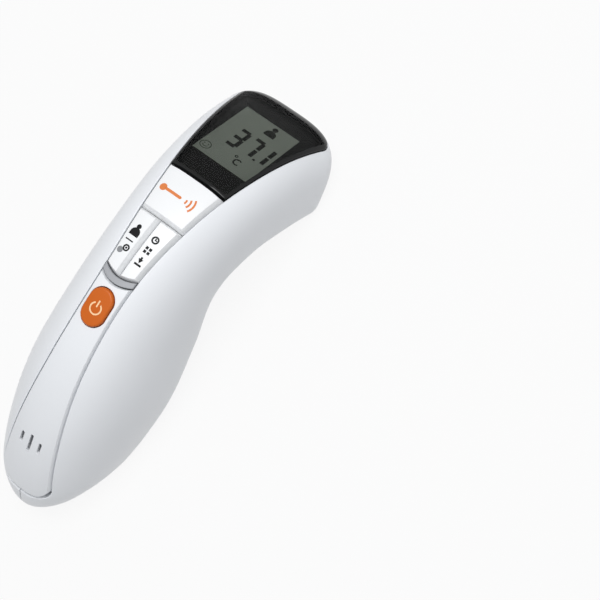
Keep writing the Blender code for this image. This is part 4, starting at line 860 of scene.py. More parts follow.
@cache
def display_film():
    """Polariser on a matt reflector: an even grey-green with grain 0.3 mm wide and faint clouds."""
    made, tree, coords = begun("Liquid crystal display, polariser and reflector")
    grain = add(tree, "ShaderNodeTexNoise", {}, {"Vector": coords, "Scale": 1.0 / 0.0003})
    cloud = add(tree, "ShaderNodeTexNoise", {}, {"Vector": coords, "Scale": 1.0 / 0.018, "Detail": 1.0})
    both = add(tree, "ShaderNodeMath", {"operation": "ADD"}, {
        0: grain.outputs["Fac"], 1: cloud.outputs["Fac"]})
    share = add(tree, "ShaderNodeMapRange", {}, {
        "Value": both.outputs[0], "From Min": 0.6, "From Max": 1.4})
    tone = add(tree, "ShaderNodeMix", {"data_type": "RGBA"}, {
        0: share.outputs[0], 6: shaded(colours().lcd, 0.93), 7: shaded(colours().lcd, 1.07)})
    shader = add(tree, "ShaderNodeBsdfPrincipled", {}, {
        "Base Color": tone.outputs[2], "Roughness": 0.3, "Specular IOR Level": 0.2})
    add(tree, "ShaderNodeOutputMaterial", {}, {"Surface": shader.outputs[0]})
    return made


@cache
def window_acrylic():
    """Polished acrylic over black: clear in the middle, back-printed black round its edge.

    Along and across are the piece's own attributes. In the clear part its alpha takes away most of its
    reflection as well, since the specular level is the same low one everywhere.
    """
    made, tree, coords = begun("PMMA, moulded and back-printed")
    ink_edges = []
    for name, low, high in WINDOW_CLEAR:
        place_on = add(tree, "ShaderNodeAttribute", {"attribute_name": name})
        for limit, sign in ((low, 1.0), (high, -1.0)):
            ink_edges.append(add(tree, "ShaderNodeMapRange", {}, {
                "Value": place_on.outputs["Fac"], "From Min": limit, "From Max": limit + sign * WINDOW_BLUR}))
    clear = ink_edges[0].outputs[0]
    for edge in ink_edges[1:]:
        least = add(tree, "ShaderNodeMath", {"operation": "MINIMUM"}, {0: clear, 1: edge.outputs[0]})
        clear = least.outputs[0]
    veil = add(tree, "ShaderNodeMapRange", {}, {"Value": clear, "To Min": 1.0, "To Max": WINDOW_VEIL})
    smear = add(tree, "ShaderNodeTexNoise", {}, {"Vector": coords, "Scale": 1.0 / 0.012, "Detail": 4.0})
    gloss = add(tree, "ShaderNodeMapRange", {}, {
        "Value": smear.outputs["Fac"], "From Min": 0.35, "From Max": 0.7, "To Min": 0.06, "To Max": 0.14})
    ink = add(tree, "ShaderNodeMix", {"data_type": "RGBA"}, {
        0: smear.outputs["Fac"], 6: shaded(colours().lens, 0.9), 7: shaded(colours().lens, 1.1)})
    shader = add(tree, "ShaderNodeBsdfPrincipled", {}, {
        "Base Color": ink.outputs[2], "Roughness": gloss.outputs[0], "Alpha": veil.outputs[0],
        "IOR": 1.49, "Specular IOR Level": 0.2})
    add(tree, "ShaderNodeOutputMaterial", {}, {"Surface": shader.outputs[0]})
    return made


# ================================================================ housing
def body_form(inset, around, heel, along, nose):
    """Outer form of the housing, or its hollow where it is drawn in by a wall."""
    heel_run = [HEEL_START + inset - HEEL_LENGTH * sin(a) for a in np.linspace(1.54, 0.09, heel)]
    nose_run = [BODY_LENGTH - inset + NOSE_LENGTH * sin(a) for a in np.linspace(0.0, pi / 2.0, nose)[1:]]
    middle = list(np.linspace(HEEL_START + inset, BODY_LENGTH - inset, along))
    form_made = body_loft("body", heel_run + middle + nose_run, inset, around)
    return cut(form_made, "DIFFERENCE", block("floor", PARTS, WHOLE_LENGTH, (-0.05, 0.05), (-0.02, inset)))


def outer_form():
    """The housing's outer form."""
    return body_form(0.0, form().around, 18, 64, 14)


def hollow_form():
    """The housing's hollow, in fewer faces since it is hardly seen."""
    return body_form(WALL, 64, 8, 32, 6)


def side_block(axes, side, xs, inner, zs):
    """Block from a lateral distance to outside the housing, on one side."""
    return block("rib", axes, xs, sorted((side * inner, side * OUTSIDE)), zs)


def board_ribs(axes, side, stations, half, depth, above=True):
    """Ribs under a board's edge and, where it is held down, over it."""
    under, over = -depth - BOARD_THICKNESS - GAP, -depth + GAP
    made = []
    for x in stations:
        xs = (x - BOARD_RIB / 2.0, x + BOARD_RIB / 2.0)
        made.append(side_block(axes, side, xs, half - BOARD_LAP, (under - BOARD_RIB_UNDER, under)))
        if above:
            made.append(side_block(axes, side, xs, half - BOARD_LAP, (over, over + BOARD_RIB_OVER)))
    return made


def inner_supports(side):
    """What stands up from the inner wall of one half: screw bosses, ribs and the sensor's cradle."""
    made = []
    for station, depth in SCREWS:
        radius = (SCREW_HEAD_RADIUS if side > 0 else SCREW_RADIUS) + GAP + BOSS_WALL
        made.append(rod("boss", side_frame(station, depth), radius, sorted((-side * WALL, side * OUTSIDE))))
    tray_half = CELL_SPACING / 2.0 + CELL_RADIUS + GAP + TRAY_WALL
    for x in BAY_RIBS:
        made.append(side_block(BAY, side, (x - TRAY_SIDE_RIB_HALF, x + TRAY_SIDE_RIB_HALF),
                               tray_half + GAP, TRAY_SIDE_RIB_Z))
        made.append(side_block(BAY, side, (x - TRAY_FOOT_RIB_HALF, x + TRAY_FOOT_RIB_HALF),
                               DOOR_HALF + TRAY_FOOT_RIB_BACK, (TRAY_FOOT_RIB_LOW, -TRAY_RIM - GAP)))
    made += board_ribs(POWER, side, RIBS_MAIN, BOARD_HALF_MAIN, DEPTH_MAIN)
    made += board_ribs(KEYS, side, RIBS_KEYS, BOARD_HALF_KEYS, DEPTH_KEYS)
    made += board_ribs(DISPLAY, side, RIBS_DISPLAY, BOARD_HALF_DISPLAY, DEPTH_DISPLAY, above=False)
    cradle = block("cradle", NOSE, CRADLE_X, (-OUTSIDE, OUTSIDE), CRADLE_Z)
    made.append(cut(cradle, "DIFFERENCE", rod("bore", NOSE_TURN, SENSOR_RADIUS + GAP, (-0.010, 0.010))))
    return made


def strip_opening():
    """Tools that open the housing for the strip and its light, with a small chamfer round the edge."""
    past_nose = BODY_LENGTH + NOSE_LENGTH + PAST
    tail = STRIP_START - GAP
    rounded = tail_run(STRIP_START, 0.0, 14)[1:]
    stations = [tail] + rounded + list(np.linspace(rounded[-1], WINDOW_STATION, 60)[1:])
    stations += list(np.linspace(WINDOW_STATION + 1e-5, BODY_LENGTH, 24))
    stations += [BODY_LENGTH + NOSE_LENGTH * sin(a) for a in np.linspace(0.15, pi / 2.0, 10)] + [past_nose]
    seat = WINDOW_THICKNESS + GAP
    flare = OPENING_FLARE

    def floor_depth(s):
        """Depth of the recess: the window's seat, or free under the panel and the keys."""
        return seat if s > WINDOW_STATION + 5e-6 else 0.0060

    recess = skin_solid("recess", straight(tail), straight(past_nose),
                        lambda s: -strip_half(s), strip_half,
                        [(-2.0 * flare, 0, -2.0 * flare, -2.0 * flare, 0, -flare), level(0, 0, flare),
                         level(0, 0, floor_depth)],
                        shares(stations), ends(28))
    ledge = 0.0002
    light = skin_solid("light", straight(WINDOW_STATION - PAST), straight(LIGHT_FRONT),
                       lambda s: ledge - strip_half(s), lambda s: strip_half(s) - ledge,
                       [level(0, 0, 0.0005), level(0, WALL, LEDGE_THICKNESS + PAST)],
                       even(24), ends(20))
    return recess, light


def glass_room():
    """Room for the display glass under the window."""
    length, half = GLASS_HALF
    return block("room", DISPLAY, (-length - GAP, length + GAP), (-half - GAP, half + GAP),
                 (DISPLAY_DEPTH - 0.014, GAP))


def door_region(margin):
    """Block that holds the battery door, widened by a margin."""
    return block("door region", BAY, (-DOOR_TAIL - margin, DOOR_HEAD + margin),
                 (-DOOR_HALF - margin, DOOR_HALF + margin), (-OUTSIDE, DOOR_CEILING + margin))


def housing_half(side, shell):
    """One half of the clamshell from the whole outer form."""
    hollow = cut(hollow_form(), "DIFFERENCE", *inner_supports(side))
    far_side = block("far side", PARTS, WHOLE_LENGTH, sorted((side * GAP / 2.0, -side * 0.05)), (-0.02, 0.1))
    cut(shell, "DIFFERENCE", far_side, hollow, *strip_opening(), glass_room(), door_region(GAP),
        rod("nose hole", NOSE_TURN, NOSE_HOLE_RADIUS, (-WALL, 2.0 * NOSE_LENGTH), 96))
    for station, depth in SCREWS:
        axes = side_frame(station, depth)
        if side > 0:
            cut(shell, "DIFFERENCE", rod("shank", axes, SCREW_RADIUS + GAP, (-PAST, 2.0 * SCREW_HEAD_SEAT)),
                rod("recess", axes, SCREW_HEAD_RADIUS + GAP, (SCREW_HEAD_SEAT, OUTSIDE)))
        else:
            cut(shell, "DIFFERENCE", rod("pilot", axes, SCREW_RADIUS + GAP, (-SCREW_REACH - PAST, PAST)))
    return shell


class THERMOMETER_OT_housing(bpy.types.Operator):
    """Build the two halves of the housing on the parts' own form"""
    bl_idname = "thermometer.housing"
    bl_label = "Housing"

    def execute(self, context):
        whole = outer_form()
        other = twin(whole, "body")
        for side, shell, node in ((1, whole, "housing_left"), (-1, other, "housing_right")):
            half = housing_half(side, shell)
            dressed(half, node + "_shell", housing_white(), "handset", node)
        return {"FINISHED"}


class THERMOMETER_OT_door(bpy.types.Operator):
    """Build the battery door in the housing's form, with ribs, thumb grooves and hooks"""
    bl_idname = "thermometer.door"
    bl_label = "Battery door"

    def execute(self, context):
        ribs = [block("rib", BAY, (x - DOOR_RIB / 2.0, x + DOOR_RIB / 2.0), (-DOOR_RIB_HALF, DOOR_RIB_HALF),
                      (-OUTSIDE, DOOR_CEILING + PAST)) for x in DOOR_RIBS]
        hollow = cut(hollow_form(), "DIFFERENCE", *ribs)
        plate = cut(outer_form(), "DIFFERENCE", hollow)
        cut(plate, "INTERSECT", door_region(0.0))
        cut(plate, "DIFFERENCE", block("floor", PARTS, WHOLE_LENGTH, (-OUTSIDE, OUTSIDE), (-0.01, DOOR_LIFT)))
        for s in GROOVES:
            _, rise, keel, _, top = profile(s)
            axes = side_frame(s, top + rise + keel + GROOVE_RADIUS - GROOVE_DEPTH)
            cut(plate, "DIFFERENCE", rod("groove", axes, GROOVE_RADIUS, (-GROOVE_HALF, GROOVE_HALF)))
        edge = BAY @ Vector((-DOOR_TAIL, 0.0, 0.0))
        down = BAY.to_3x3() @ Vector((0.0, 0.0, -1.0))
        here = Matrix.Translation(edge + down * (edge.z / -down.z))
        for side in (-1, 1):
            ys = (side * HOOK_OFFSET - HOOK_WIDTH / 2.0, side * HOOK_OFFSET + HOOK_WIDTH / 2.0)
            cut(plate, "UNION", block("post", here, HOOK_POST_X, ys, HOOK_POST_Z),
                block("tongue", here, HOOK_TONGUE_X, ys, HOOK_TONGUE_Z))
        dressed(plate, "battery_door_plate", housing_white(), "door", "battery_door")
        return {"FINISHED"}


# ================================================================ strip: panel, keys, window
def capped(proud, slope, sunk, right_reach, left_reach):
    """Layers of a piece with a sloped rim round its face and a flange under the housing's edge.

    The rim slopes down to the sunk depth, and has a small rounding where it leaves the face.
    """
    turn, step = RIM_ROUNDING, FLANGE_STEP
    return [
        level(slope + turn, 0.0, -proud),
        level(slope - turn, 0.0, turn * (proud + sunk) / slope - proud),
        level(0.0, 0.0, sunk),
        level(0.0, SEAT, 0.0),
        (step, step, -right_reach, -left_reach, SEAT, 0.0),
        (step, step, -right_reach, -left_reach, SEAT, FLANGE_THICKNESS),
    ]


class THERMOMETER_OT_panel(bpy.types.Operator):
    """Build the white strip with its sound slots and the power button's opening"""
    bl_idname = "thermometer.panel"
    bl_label = "Control panel"

    def execute(self, context):
        start = STRIP_START + TAIL_GROOVE
        tail, head = start + GAP, ARC_STATION - GAP
        rounded = tail_run(start, 0.32, 12)
        stations = [tail] + rounded + list(np.linspace(rounded[-1], head, 70)[1:])
        layers = capped(PANEL_PROUD, form().edge, PANEL_RIM_SUNK, FLANGE_REACH, FLANGE_REACH)
        panel = skin_solid("panel", straight(tail), arc(head), lambda s: GAP - strip_half(s, start),
                           lambda s: strip_half(s, start) - GAP, layers, shares(stations), ends(24))
        axes = station_frame(SLOTS[1][0])
        pocket = BUZZER_RADIUS + GAP
        cut(panel, "UNION", rod("ring", axes, pocket + BUZZER_WALL, BUZZER_RING_Z, 64))
        cut(panel, "DIFFERENCE", rod("pocket", axes, pocket, (BUZZER_POCKET_LOW, GAP - BUZZER_DEPTH), 64))
        for s, y, length in SLOTS:
            at = station_frame(s) @ Matrix.Translation((0.0, y, 0.0))
            face = PANEL_PROUD - skin_depth(s, y)
            cut(panel, "DIFFERENCE", stadium("slot", at, (length / 2.0, SLOT_WIDTH / 2.0), (
                (SLOT_CHANNEL, SLOT_LOW), (SLOT_CHANNEL, face - SLOT_LIP - 0.0004),
                (SLOT_EASE, face - SLOT_LIP), (SLOT_EASE, face - 0.0001),
                (SLOT_EASE + 0.0006, face + 0.0005))))
        cut(panel, "DIFFERENCE", stadium("opening", POWER, POWER_HALF,
                                         ((GAP, POWER_HOLE_LOW), (GAP, 0.0),
                                          (GAP + POWER_HOLE_FLARE, POWER_HOLE_FLARE))))
        dressed(panel, "control_panel_strip", housing_white(), "handset", "control_panel")
        return {"FINISHED"}


def plunger_end(board_depth):
    """Height of a plunger's end, a gap over the stem of the switch on its board."""
    return -board_depth + GAP + SWITCH_HEIGHT + STEM_RISE + GAP


def key_solid(tail, head, right, left, reach, plunger_at, columns):
    """Key cap with its sloped rim, flange and plunger."""
    layers = capped(KEY_PROUD, form().bevel, KEY_RIM_SUNK, *reach)
    cap = skin_solid("cap", tail, head, right, left, layers, even(33), ends(columns))
    axes = KEYS @ Matrix.Translation((*plunger_at, 0.0))
    return cut(cap, "UNION", rod("plunger", axes, PLUNGER_RADIUS, (plunger_end(DEPTH_KEYS), KEY_PLUNGER_TOP)))


class THERMOMETER_OT_keys(bpy.types.Operator):
    """Build the measure, mode and memory keys"""
    bl_idname = "thermometer.keys"
    bl_label = "Keys"

    def execute(self, context):
        x, y = SIDE_SWITCH
        measure = key_solid(straight(MEASURE_STATION + GAP), straight(WINDOW_STATION - GAP), strip_right,
                            strip_left, (FLANGE_REACH, FLANGE_REACH), (MEASURE_SWITCH_X, 0.0), 24)
        dressed(measure, "measure_key_cap", key_white(), "measure_key", "measure_button")
        mode = key_solid(arc(KEYS_STATION), straight(MEASURE_STATION), lambda s: GAP / 2.0, strip_left,
                         (-FLANGE_STEP, FLANGE_REACH), (x, y), 14)
        dressed(mode, "mode_key_cap", key_white(), "mode_key", "mode_button")
        memory = key_solid(arc(KEYS_STATION), straight(MEASURE_STATION), strip_right, lambda s: -GAP / 2.0,
                           (FLANGE_REACH, -FLANGE_STEP), (x, -y), 14)
        dressed(memory, "memory_key_cap", key_white(), "memory_key", "memory_button")
        return {"FINISHED"}


class THERMOMETER_OT_key_frame(bpy.types.Operator):
    """Build the grey arc and the carrier under the keys"""
    bl_idname = "thermometer.key_frame"
    bl_label = "Key frame"

    def execute(self, context):
        room = FLANGE_REACH + GAP
        reach = room + CARRIER_WALL
        tail, inner_tail = arc(ARC_STATION), arc(ARC_STATION + ARC_WIDTH)
        carrier = skin_solid("carrier", tail, straight(WINDOW_STATION - GAP), strip_right, strip_left,
                             [(0, 0, -reach, -reach, SEAT, 0), (0, 0, -reach, -reach, SEAT, FRAME_BOTTOM)],
                             even(32), ends(24))
        channel = skin_solid("channel", inner_tail, straight(WINDOW_STATION + 0.002), strip_right, strip_left,
                             [(0, 0, -room, -room, SEAT, -PAST), (0, 0, -room, -room, SEAT, FRAME_FLOOR)],
                             even(32), ends(24))
        edge = 0.0002
        rim = skin_solid("rim", tail, inner_tail, strip_right, strip_left,
                         [level(edge, 0, -0.0001), level(0, 0, 0.0001),
                          level(0.0001, SEAT, FRAME_BOTTOM - 0.0004)],
                         even(5), ends(24))
        cut(carrier, "DIFFERENCE", channel)
        cut(carrier, "UNION", rim)
        x, y = SIDE_SWITCH
        for plunger_at in ((MEASURE_SWITCH_X, 0.0), (x, y), (x, -y)):
            axes = KEYS @ Matrix.Translation((*plunger_at, 0.0))
            cut(carrier, "DIFFERENCE", rod("hole", axes, PLUNGER_RADIUS + 2.0 * GAP, (-DEPTH_KEYS, 0.0)))
        dressed(carrier, "key_carrier", frame_grey(), "handset", "key_frame")
        return {"FINISHED"}


class THERMOMETER_OT_power(bpy.types.Operator):
    """Build the orange power button with a rounded edge and its printed symbol"""
    bl_idname = "thermometer.power"
    bl_label = "Power button"

    def execute(self, context):
        rounding = [(POWER_ROUNDING * (sin(a) - 1.0), POWER_PROUD - POWER_ROUNDING * (1.0 - cos(a)))
                    for a in np.linspace(pi / 2.0, 0.0, 8)]
        flange = [(POWER_FLANGE_REACH, height) for height in POWER_FLANGE_Z]
        cap = stadium("cap", POWER, POWER_HALF, flange + [(0.0, POWER_SIDE_LOW)] + rounding)
        plunger = rod("plunger", POWER, PLUNGER_RADIUS, (plunger_end(DEPTH_MAIN), POWER_PLUNGER_TOP))
        cut(cap, "UNION", plunger)
        dressed(cap, "power_key_cap", power_orange(), "power_key", "power_button")

        symbol = bmesh.new()
        bow(symbol, (0.0001, -0.0004), 0.00175, 0.00045, radians(122.0), radians(296.0))
        bar(symbol, (0.0001, 0.0011), (0.00045, 0.0021))
        printed(symbol, "power_key_symbol", cream_ink(), "power_key", on_plate(POWER, POWER_PROUD))
        return {"FINISHED"}


def rectangle(half_length, half_width, height):
    """Rim in the display's axes, for an outline share (u, v)."""
    return lambda u, v: DISPLAY @ Vector((u * half_length, v * half_width, height))


def under_window(margin, depth):
    """Rim under the window's edge, drawn in by a margin, for an outline share (u, v)."""
    tail, head = WINDOW_STATION + GAP + margin, LIGHT_FRONT - margin

    def at(u, v):
        """Place of an outline share."""
        s = tail + (head - tail) * (u + 1.0) / 2.0
        y = v * (strip_half(s) - GAP - margin)
        return place(s, y, skin_depth(s, y) + depth)

    return at


class THERMOMETER_OT_window(bpy.types.Operator):
    """Build the window lens and the black frame that slopes from it down to the display"""
    bl_idname = "thermometer.window"
    bl_label = "Window"

    def execute(self, context):
        edge, lift = 0.00025, 0.0001
        turn = 0.3 * edge
        layers = [level(edge, 0.0, -lift), level(turn, 0.0, turn - lift), level(0.0, 0.0, edge - lift),
                  level(0.0, 0.0, WINDOW_THICKNESS)]
        start = WINDOW_STATION + GAP
        stations = list(np.linspace(start, BODY_LENGTH, 60))
        over_nose = WINDOW_FRONT - BODY_LENGTH
        stations += [BODY_LENGTH + over_nose * sin(a) for a in np.linspace(0.1, pi / 2.0, 12)]
        lens = skin_solid("lens", straight(start), straight(WINDOW_FRONT), strip_right, strip_left, layers,
                          shares(stations), ends(48))
        dressed(lens, "window_lens", window_acrylic(), "handset", "display_window")

        length, half = DISPLAY_OPENING
        margin, drop, foot, lap = 0.0001, WINDOW_THICKNESS + BEZEL_DROP, 0.00012, 0.0005
        outer = under_window(margin, drop)
        bezel = rim_loft("bezel", [outer, rectangle(length, half, 0.00030), rectangle(length, half, foot),
                                   rectangle(length + lap, half + lap, foot),
                                   under_window(margin, drop + 0.0006), outer])
        dressed(bezel, "window_bezel", bezel_black(), "handset")
        return {"FINISHED"}


# ================================================================ flat symbols
def bar(build, centre, size):
    """Upright bar in reading coordinates: a to the right, b toward the head."""
    height = form().print_height
    axes = Matrix.Translation((*centre, height / 2.0)) @ Matrix.Diagonal((*size, height, 1.0))
    bmesh.ops.create_cube(build, size=1.0, matrix=axes)


def disc(build, centre, radius, base=None):
    """Disc, or what is left of it above a base line."""
    height = form().print_height
    made = bmesh.ops.create_cone(build, cap_ends=True, segments=40, radius1=radius, radius2=radius,
                                 depth=height, matrix=Matrix.Translation((*centre, height / 2.0)))
    if base is None:
        return
    faces = {face for vert in made["verts"] for face in vert.link_faces}
    edges = {edge for face in faces for edge in face.edges}
    halved = bmesh.ops.bisect_plane(build, geom=[*made["verts"], *edges, *faces], dist=FLAT, clear_outer=True,
                                    plane_co=(0.0, base, 0.0), plane_no=(0.0, -1.0, 0.0))
    rim = [edge for edge in halved["geom_cut"] if isinstance(edge, bmesh.types.BMEdge)]
    bmesh.ops.edgeloop_fill(build, edges=rim)


def arrow(build, tip, size):
    """Solid triangle whose tip points toward the tail."""
    height = form().print_height
    bmesh.ops.create_cone(build, cap_ends=True, segments=3, radius1=size, radius2=size, depth=height,
                          matrix=Matrix.Translation((tip[0], tip[1] + size, height / 2.0))
                          @ Matrix.Rotation(pi, 4, "Z"))


def bow(build, centre, radius, width, start=0.0, sweep=2.0 * pi):
    """Ring about a centre, or a part of one from a starting angle, turned counterclockwise."""
    height = form().print_height
    turn = Matrix.Rotation(start, 3, "Z")
    corners = ((radius - width / 2.0, 0.0), (radius + width / 2.0, 0.0),
               (radius + width / 2.0, height), (radius - width / 2.0, height))
    middle = Vector((*centre, 0.0))
    verts = [build.verts.new(middle + turn @ Vector((x, 0.0, z))) for x, z in corners]
    section_edges = [build.edges.new((verts[i - 1], verts[i])) for i in range(4)]
    whole = sweep > 2.0 * pi - 0.01
    shape = section_edges if whole else [build.faces.new(verts)]
    bmesh.ops.spin(build, geom=shape, cent=middle, axis=(0, 0, 1), dvec=(0, 0, 0), angle=sweep,
                   steps=max(6, round(sweep / radians(9.0))), use_merge=whole, use_duplicate=False)


def segment(build, centre, length, width, upright):
    """Six-cornered bar of a numeric display."""
    height = form().print_height
    made = bmesh.ops.create_cone(build, cap_ends=True, segments=6, radius1=1.0, radius2=1.0, depth=height)
    for vert in made["verts"]:
        along = vert.co.x
        reach = (length / 2.0 if abs(along) > 0.75 else (length - width) / 2.0)
        along = reach if along > 0.0 else -reach
        across = 0.0 if abs(vert.co.y) < 0.1 else (width / 2.0 if vert.co.y > 0.0 else -width / 2.0)
        flat = (across, along) if upright else (along, across)
        vert.co = Vector((centre[0] + flat[0], centre[1] + flat[1], vert.co.z + height / 2.0))


def printed(build, name, ink, body, at):
    """Lay a flat symbol on a face: at gives the place of reading coordinates and height."""
    for axis in ((1.0, 0.0, 0.0), (0.0, 1.0, 0.0)):
        for line in np.arange(-0.0150, 0.0150, PRINT_CELL):
            bmesh.ops.bisect_plane(build, geom=build.verts[:] + build.edges[:] + build.faces[:], dist=WELD,
                                   plane_co=Vector(axis) * line, plane_no=axis)
    for vert in build.verts:
        vert.co = at(*vert.co)
    bmesh.ops.recalc_face_normals(build, faces=build.faces)
    dressed(to_object(build, name), name, ink, body)


def on_key(station, lateral):
    """Reading coordinates on the keys' faces."""
    return lambda a, b, h: on_skin(station + b, lateral - a, KEY_PROUD + h)


def on_plate(axes, face):
    """Reading coordinates on a flat face at a height in its axes."""
    return lambda a, b, h: axes @ Vector((b, -a, face + h))


class THERMOMETER_OT_prints(bpy.types.Operator):
    """Print the symbols of the measure, mode and memory keys"""
    bl_idname = "thermometer.prints"
    bl_label = "Printed symbols"

    def execute(self, context):
        # a thermometer lying on its side, with three waves toward its right
        measure = bmesh.new()
        disc(measure, (-0.00535, 0.0), 0.00115)
        bar(measure, (-0.00215, 0.0), (0.0060, 0.00092))
        disc(measure, (0.00085, 0.0), 0.00046)
        for radius in (0.0012, 0.0025, 0.0038):
            bow(measure, (0.0019, 0.0), radius, 0.00058, radians(-32.0), radians(64.0))
        printed(measure, "measure_key_symbol", orange_ink(), "measure_key", on_key(*MEASURE_PRINT))

        # a figure, a dash and two discs
        mode = bmesh.new()
        disc(mode, (0.0, 0.0), 0.0016, base=-0.0002)
        bar(mode, (0.0, -0.00055), (0.0032, 0.0008))
        disc(mode, (0.0, 0.00205), 0.00075)
        bar(mode, (0.0, -0.0025), (0.0027, 0.00038))
        bow(mode, (0.0007, -0.0048), 0.00082, 0.00050)
        disc(mode, (0.0007, -0.0048), 0.00034)
        printed(mode, "mode_key_symbol", black_ink(), "mode_key", on_key(*MODE_PRINT))
        second = bmesh.new()
        disc(second, (0.0, 0.0), 0.00095)
        printed(second, "mode_key_second_symbol", grey_ink(), "mode_key", on_key(*MODE_SECOND_PRINT))

        # a clock, a sheet of readings and a store
        memory = bmesh.new()
        bow(memory, (0.0, 0.0036), 0.00092, 0.00050)
        bar(memory, (0.0, 0.0038), (0.00036, 0.00080))
        bar(memory, (0.00030, 0.0036), (0.00060, 0.00036))
        for a, b in ((-1, -1), (-1, 1), (1, -1), (1, 1)):
            bar(memory, (0.00060 * a, 0.00060 * b), (0.00086, 0.00086))
        bar(memory, (0.0, -0.00480), (0.0022, 0.00060))
        bar(memory, (0.0, -0.00275), (0.00060, 0.00090))
        arrow(memory, (0.0, -0.00430), 0.00090)
        printed(memory, "memory_key_symbol", black_ink(), "memory_key", on_key(*MEMORY_PRINT))
        return {"FINISHED"}


class THERMOMETER_OT_display(bpy.types.Operator):
    """Build the display's film, its digits and its small signs"""
    bl_idname = "thermometer.display"
    bl_label = "Display"

    def execute(self, context):
        length, half = DISPLAY_OPENING
        length, half = length + FILM_LAP, half + FILM_LAP
        film = block("film", DISPLAY, (-length, length), (-half, half), (FILM_BOTTOM, FILM_TOP))
        dressed(film, "display_film", display_film(), "handset")

        lit = bmesh.new()
        upright = (form().digit - DIGIT_STROKE) / 2.0
        for a, shape in ((-0.0031, "abgcd"), (0.0023, "abc"), (0.0067, "bc")):
            right = a + DIGIT_WIDTH / 2.0
            places = {"a": ((a, upright), False), "g": ((a, 0.0), False), "d": ((a, -upright), False),
                      "b": ((right, upright / 2.0), True), "c": ((right, -upright / 2.0), True)}
            for key in shape:
                centre, stands = places[key]
                run = upright - DIGIT_CLEARANCE if stands else DIGIT_WIDTH
                segment(lit, centre, run, DIGIT_STROKE, stands)
        bar(lit, (0.0057, -upright), (0.0008, 0.0008))
        bow(lit, (0.0032, -0.0088), 0.0012, 0.00050, radians(50.0), radians(260.0))
        bow(lit, (0.0014, -0.0068), 0.00042, 0.00028)
        disc(lit, (0.0022, 0.0087), 0.0019, base=0.0083)
        bar(lit, (0.0022, 0.0080), (0.0038, 0.0007))
        disc(lit, (0.0022, 0.0116), 0.00095)
        printed(lit, "display_segments", segment_dark(), "handset", on_plate(DISPLAY, FILM_TOP))

        faint = bmesh.new()
        bow(faint, (-0.0079, -0.0099), 0.0017, 0.0003)
        bow(faint, (-0.0079, -0.0098), 0.0009, 0.0003, radians(200.0), radians(140.0))
        for a in (-0.0086, -0.0072):
            disc(faint, (a, -0.0094), 0.00024)
        printed(faint, "display_faint_sign", segment_faint(), "handset", on_plate(DISPLAY, FILM_TOP))
        return {"FINISHED"}


# ================================================================ nose and screws
class THERMOMETER_OT_nose(bpy.types.Operator):
    """Turn the ring round the sensor's window"""
    bl_idname = "thermometer.nose"
    bl_label = "Nose ring"

    def execute(self, context):
        front, back = NOSE_LENGTH + NOSE_PROUD, NOSE_LENGTH - WALL - GAP
        outer = NOSE_HOLE_RADIUS - GAP
        edge = [(front - NOSE_ROUNDING * (1.0 - sin(a)), outer - NOSE_ROUNDING * (1.0 - cos(a)))
                for a in np.linspace(0.0, pi / 2.0, 6)]
        lip = [(front - NOSE_LIP_ROUNDING * (1.0 - cos(a)), NOSE_LIP_RADIUS - NOSE_LIP_ROUNDING * sin(a))
               for a in np.linspace(0.0, pi / 2.0, 5)]
        outline = edge + lip + [
            (0.0022, 0.0033), (0.0022, 0.0046), (0.0010, 0.0046), (0.0010, outer), (back - 0.0011, outer),
            (back - 0.0011, NOSE_FLANGE_RADIUS), (back, NOSE_FLANGE_RADIUS), (back, outer)]
        dressed(turned("ring", NOSE, outline), "nose_bezel", frame_grey(), "handset", "nose_ring")
        return {"FINISHED"}


class THERMOMETER_OT_screws(bpy.types.Operator):
    """Turn the four housing screws with their threads and cross recesses"""
    bl_idname = "thermometer.screws"
    bl_label = "Housing screws"

    def execute(self, context):
        seat = SCREW_HEAD_SEAT + GAP
        top = seat + SCREW_HEAD_HEIGHT
        turns = round(SCREW_THREAD_LENGTH / SCREW_PITCH)
        ridges = []
        for i in range(turns):
            x = -SCREW_REACH + SCREW_PLAIN + i * SCREW_PITCH
            ridges += [(x, SCREW_RADIUS - SCREW_THREAD_DEPTH), (x + SCREW_PITCH / 2.0, SCREW_RADIUS)]
        dome = [(seat + SCREW_BRIM + (SCREW_HEAD_HEIGHT - SCREW_BRIM) * sin(a),
                 SCREW_HEAD_RADIUS - SCREW_DOME * (1.0 - cos(a))) for a in np.linspace(0.0, pi / 2.0, 7)]
        shank = SCREW_RADIUS - SCREW_TAPER
        outline = ([(-SCREW_REACH, 0.0), (-SCREW_REACH + SCREW_TIP, shank)] + ridges
                   + [(seat, shank), (seat, SCREW_HEAD_RADIUS)] + dome + [(top, 0.0)])
        long_way, short_way = (-CROSS_LONG, CROSS_LONG), (-CROSS_SHORT, CROSS_SHORT)
        for i, (station, depth) in enumerate(SCREWS):
            axes = side_frame(station, depth) @ Matrix.Rotation(-pi / 2.0, 4, "Y")
            screw = turned("screw", axes, outline, 48)
            for ys, zs in ((long_way, short_way), (short_way, long_way)):
                cut(screw, "DIFFERENCE", block("cross", axes, (top - CROSS_DEPTH, top + PAST), ys, zs))
            node = "housing_screw_%d" % (i + 1)
            dressed(screw, node + "_turned", screw_steel(), "handset", node)
        return {"FINISHED"}


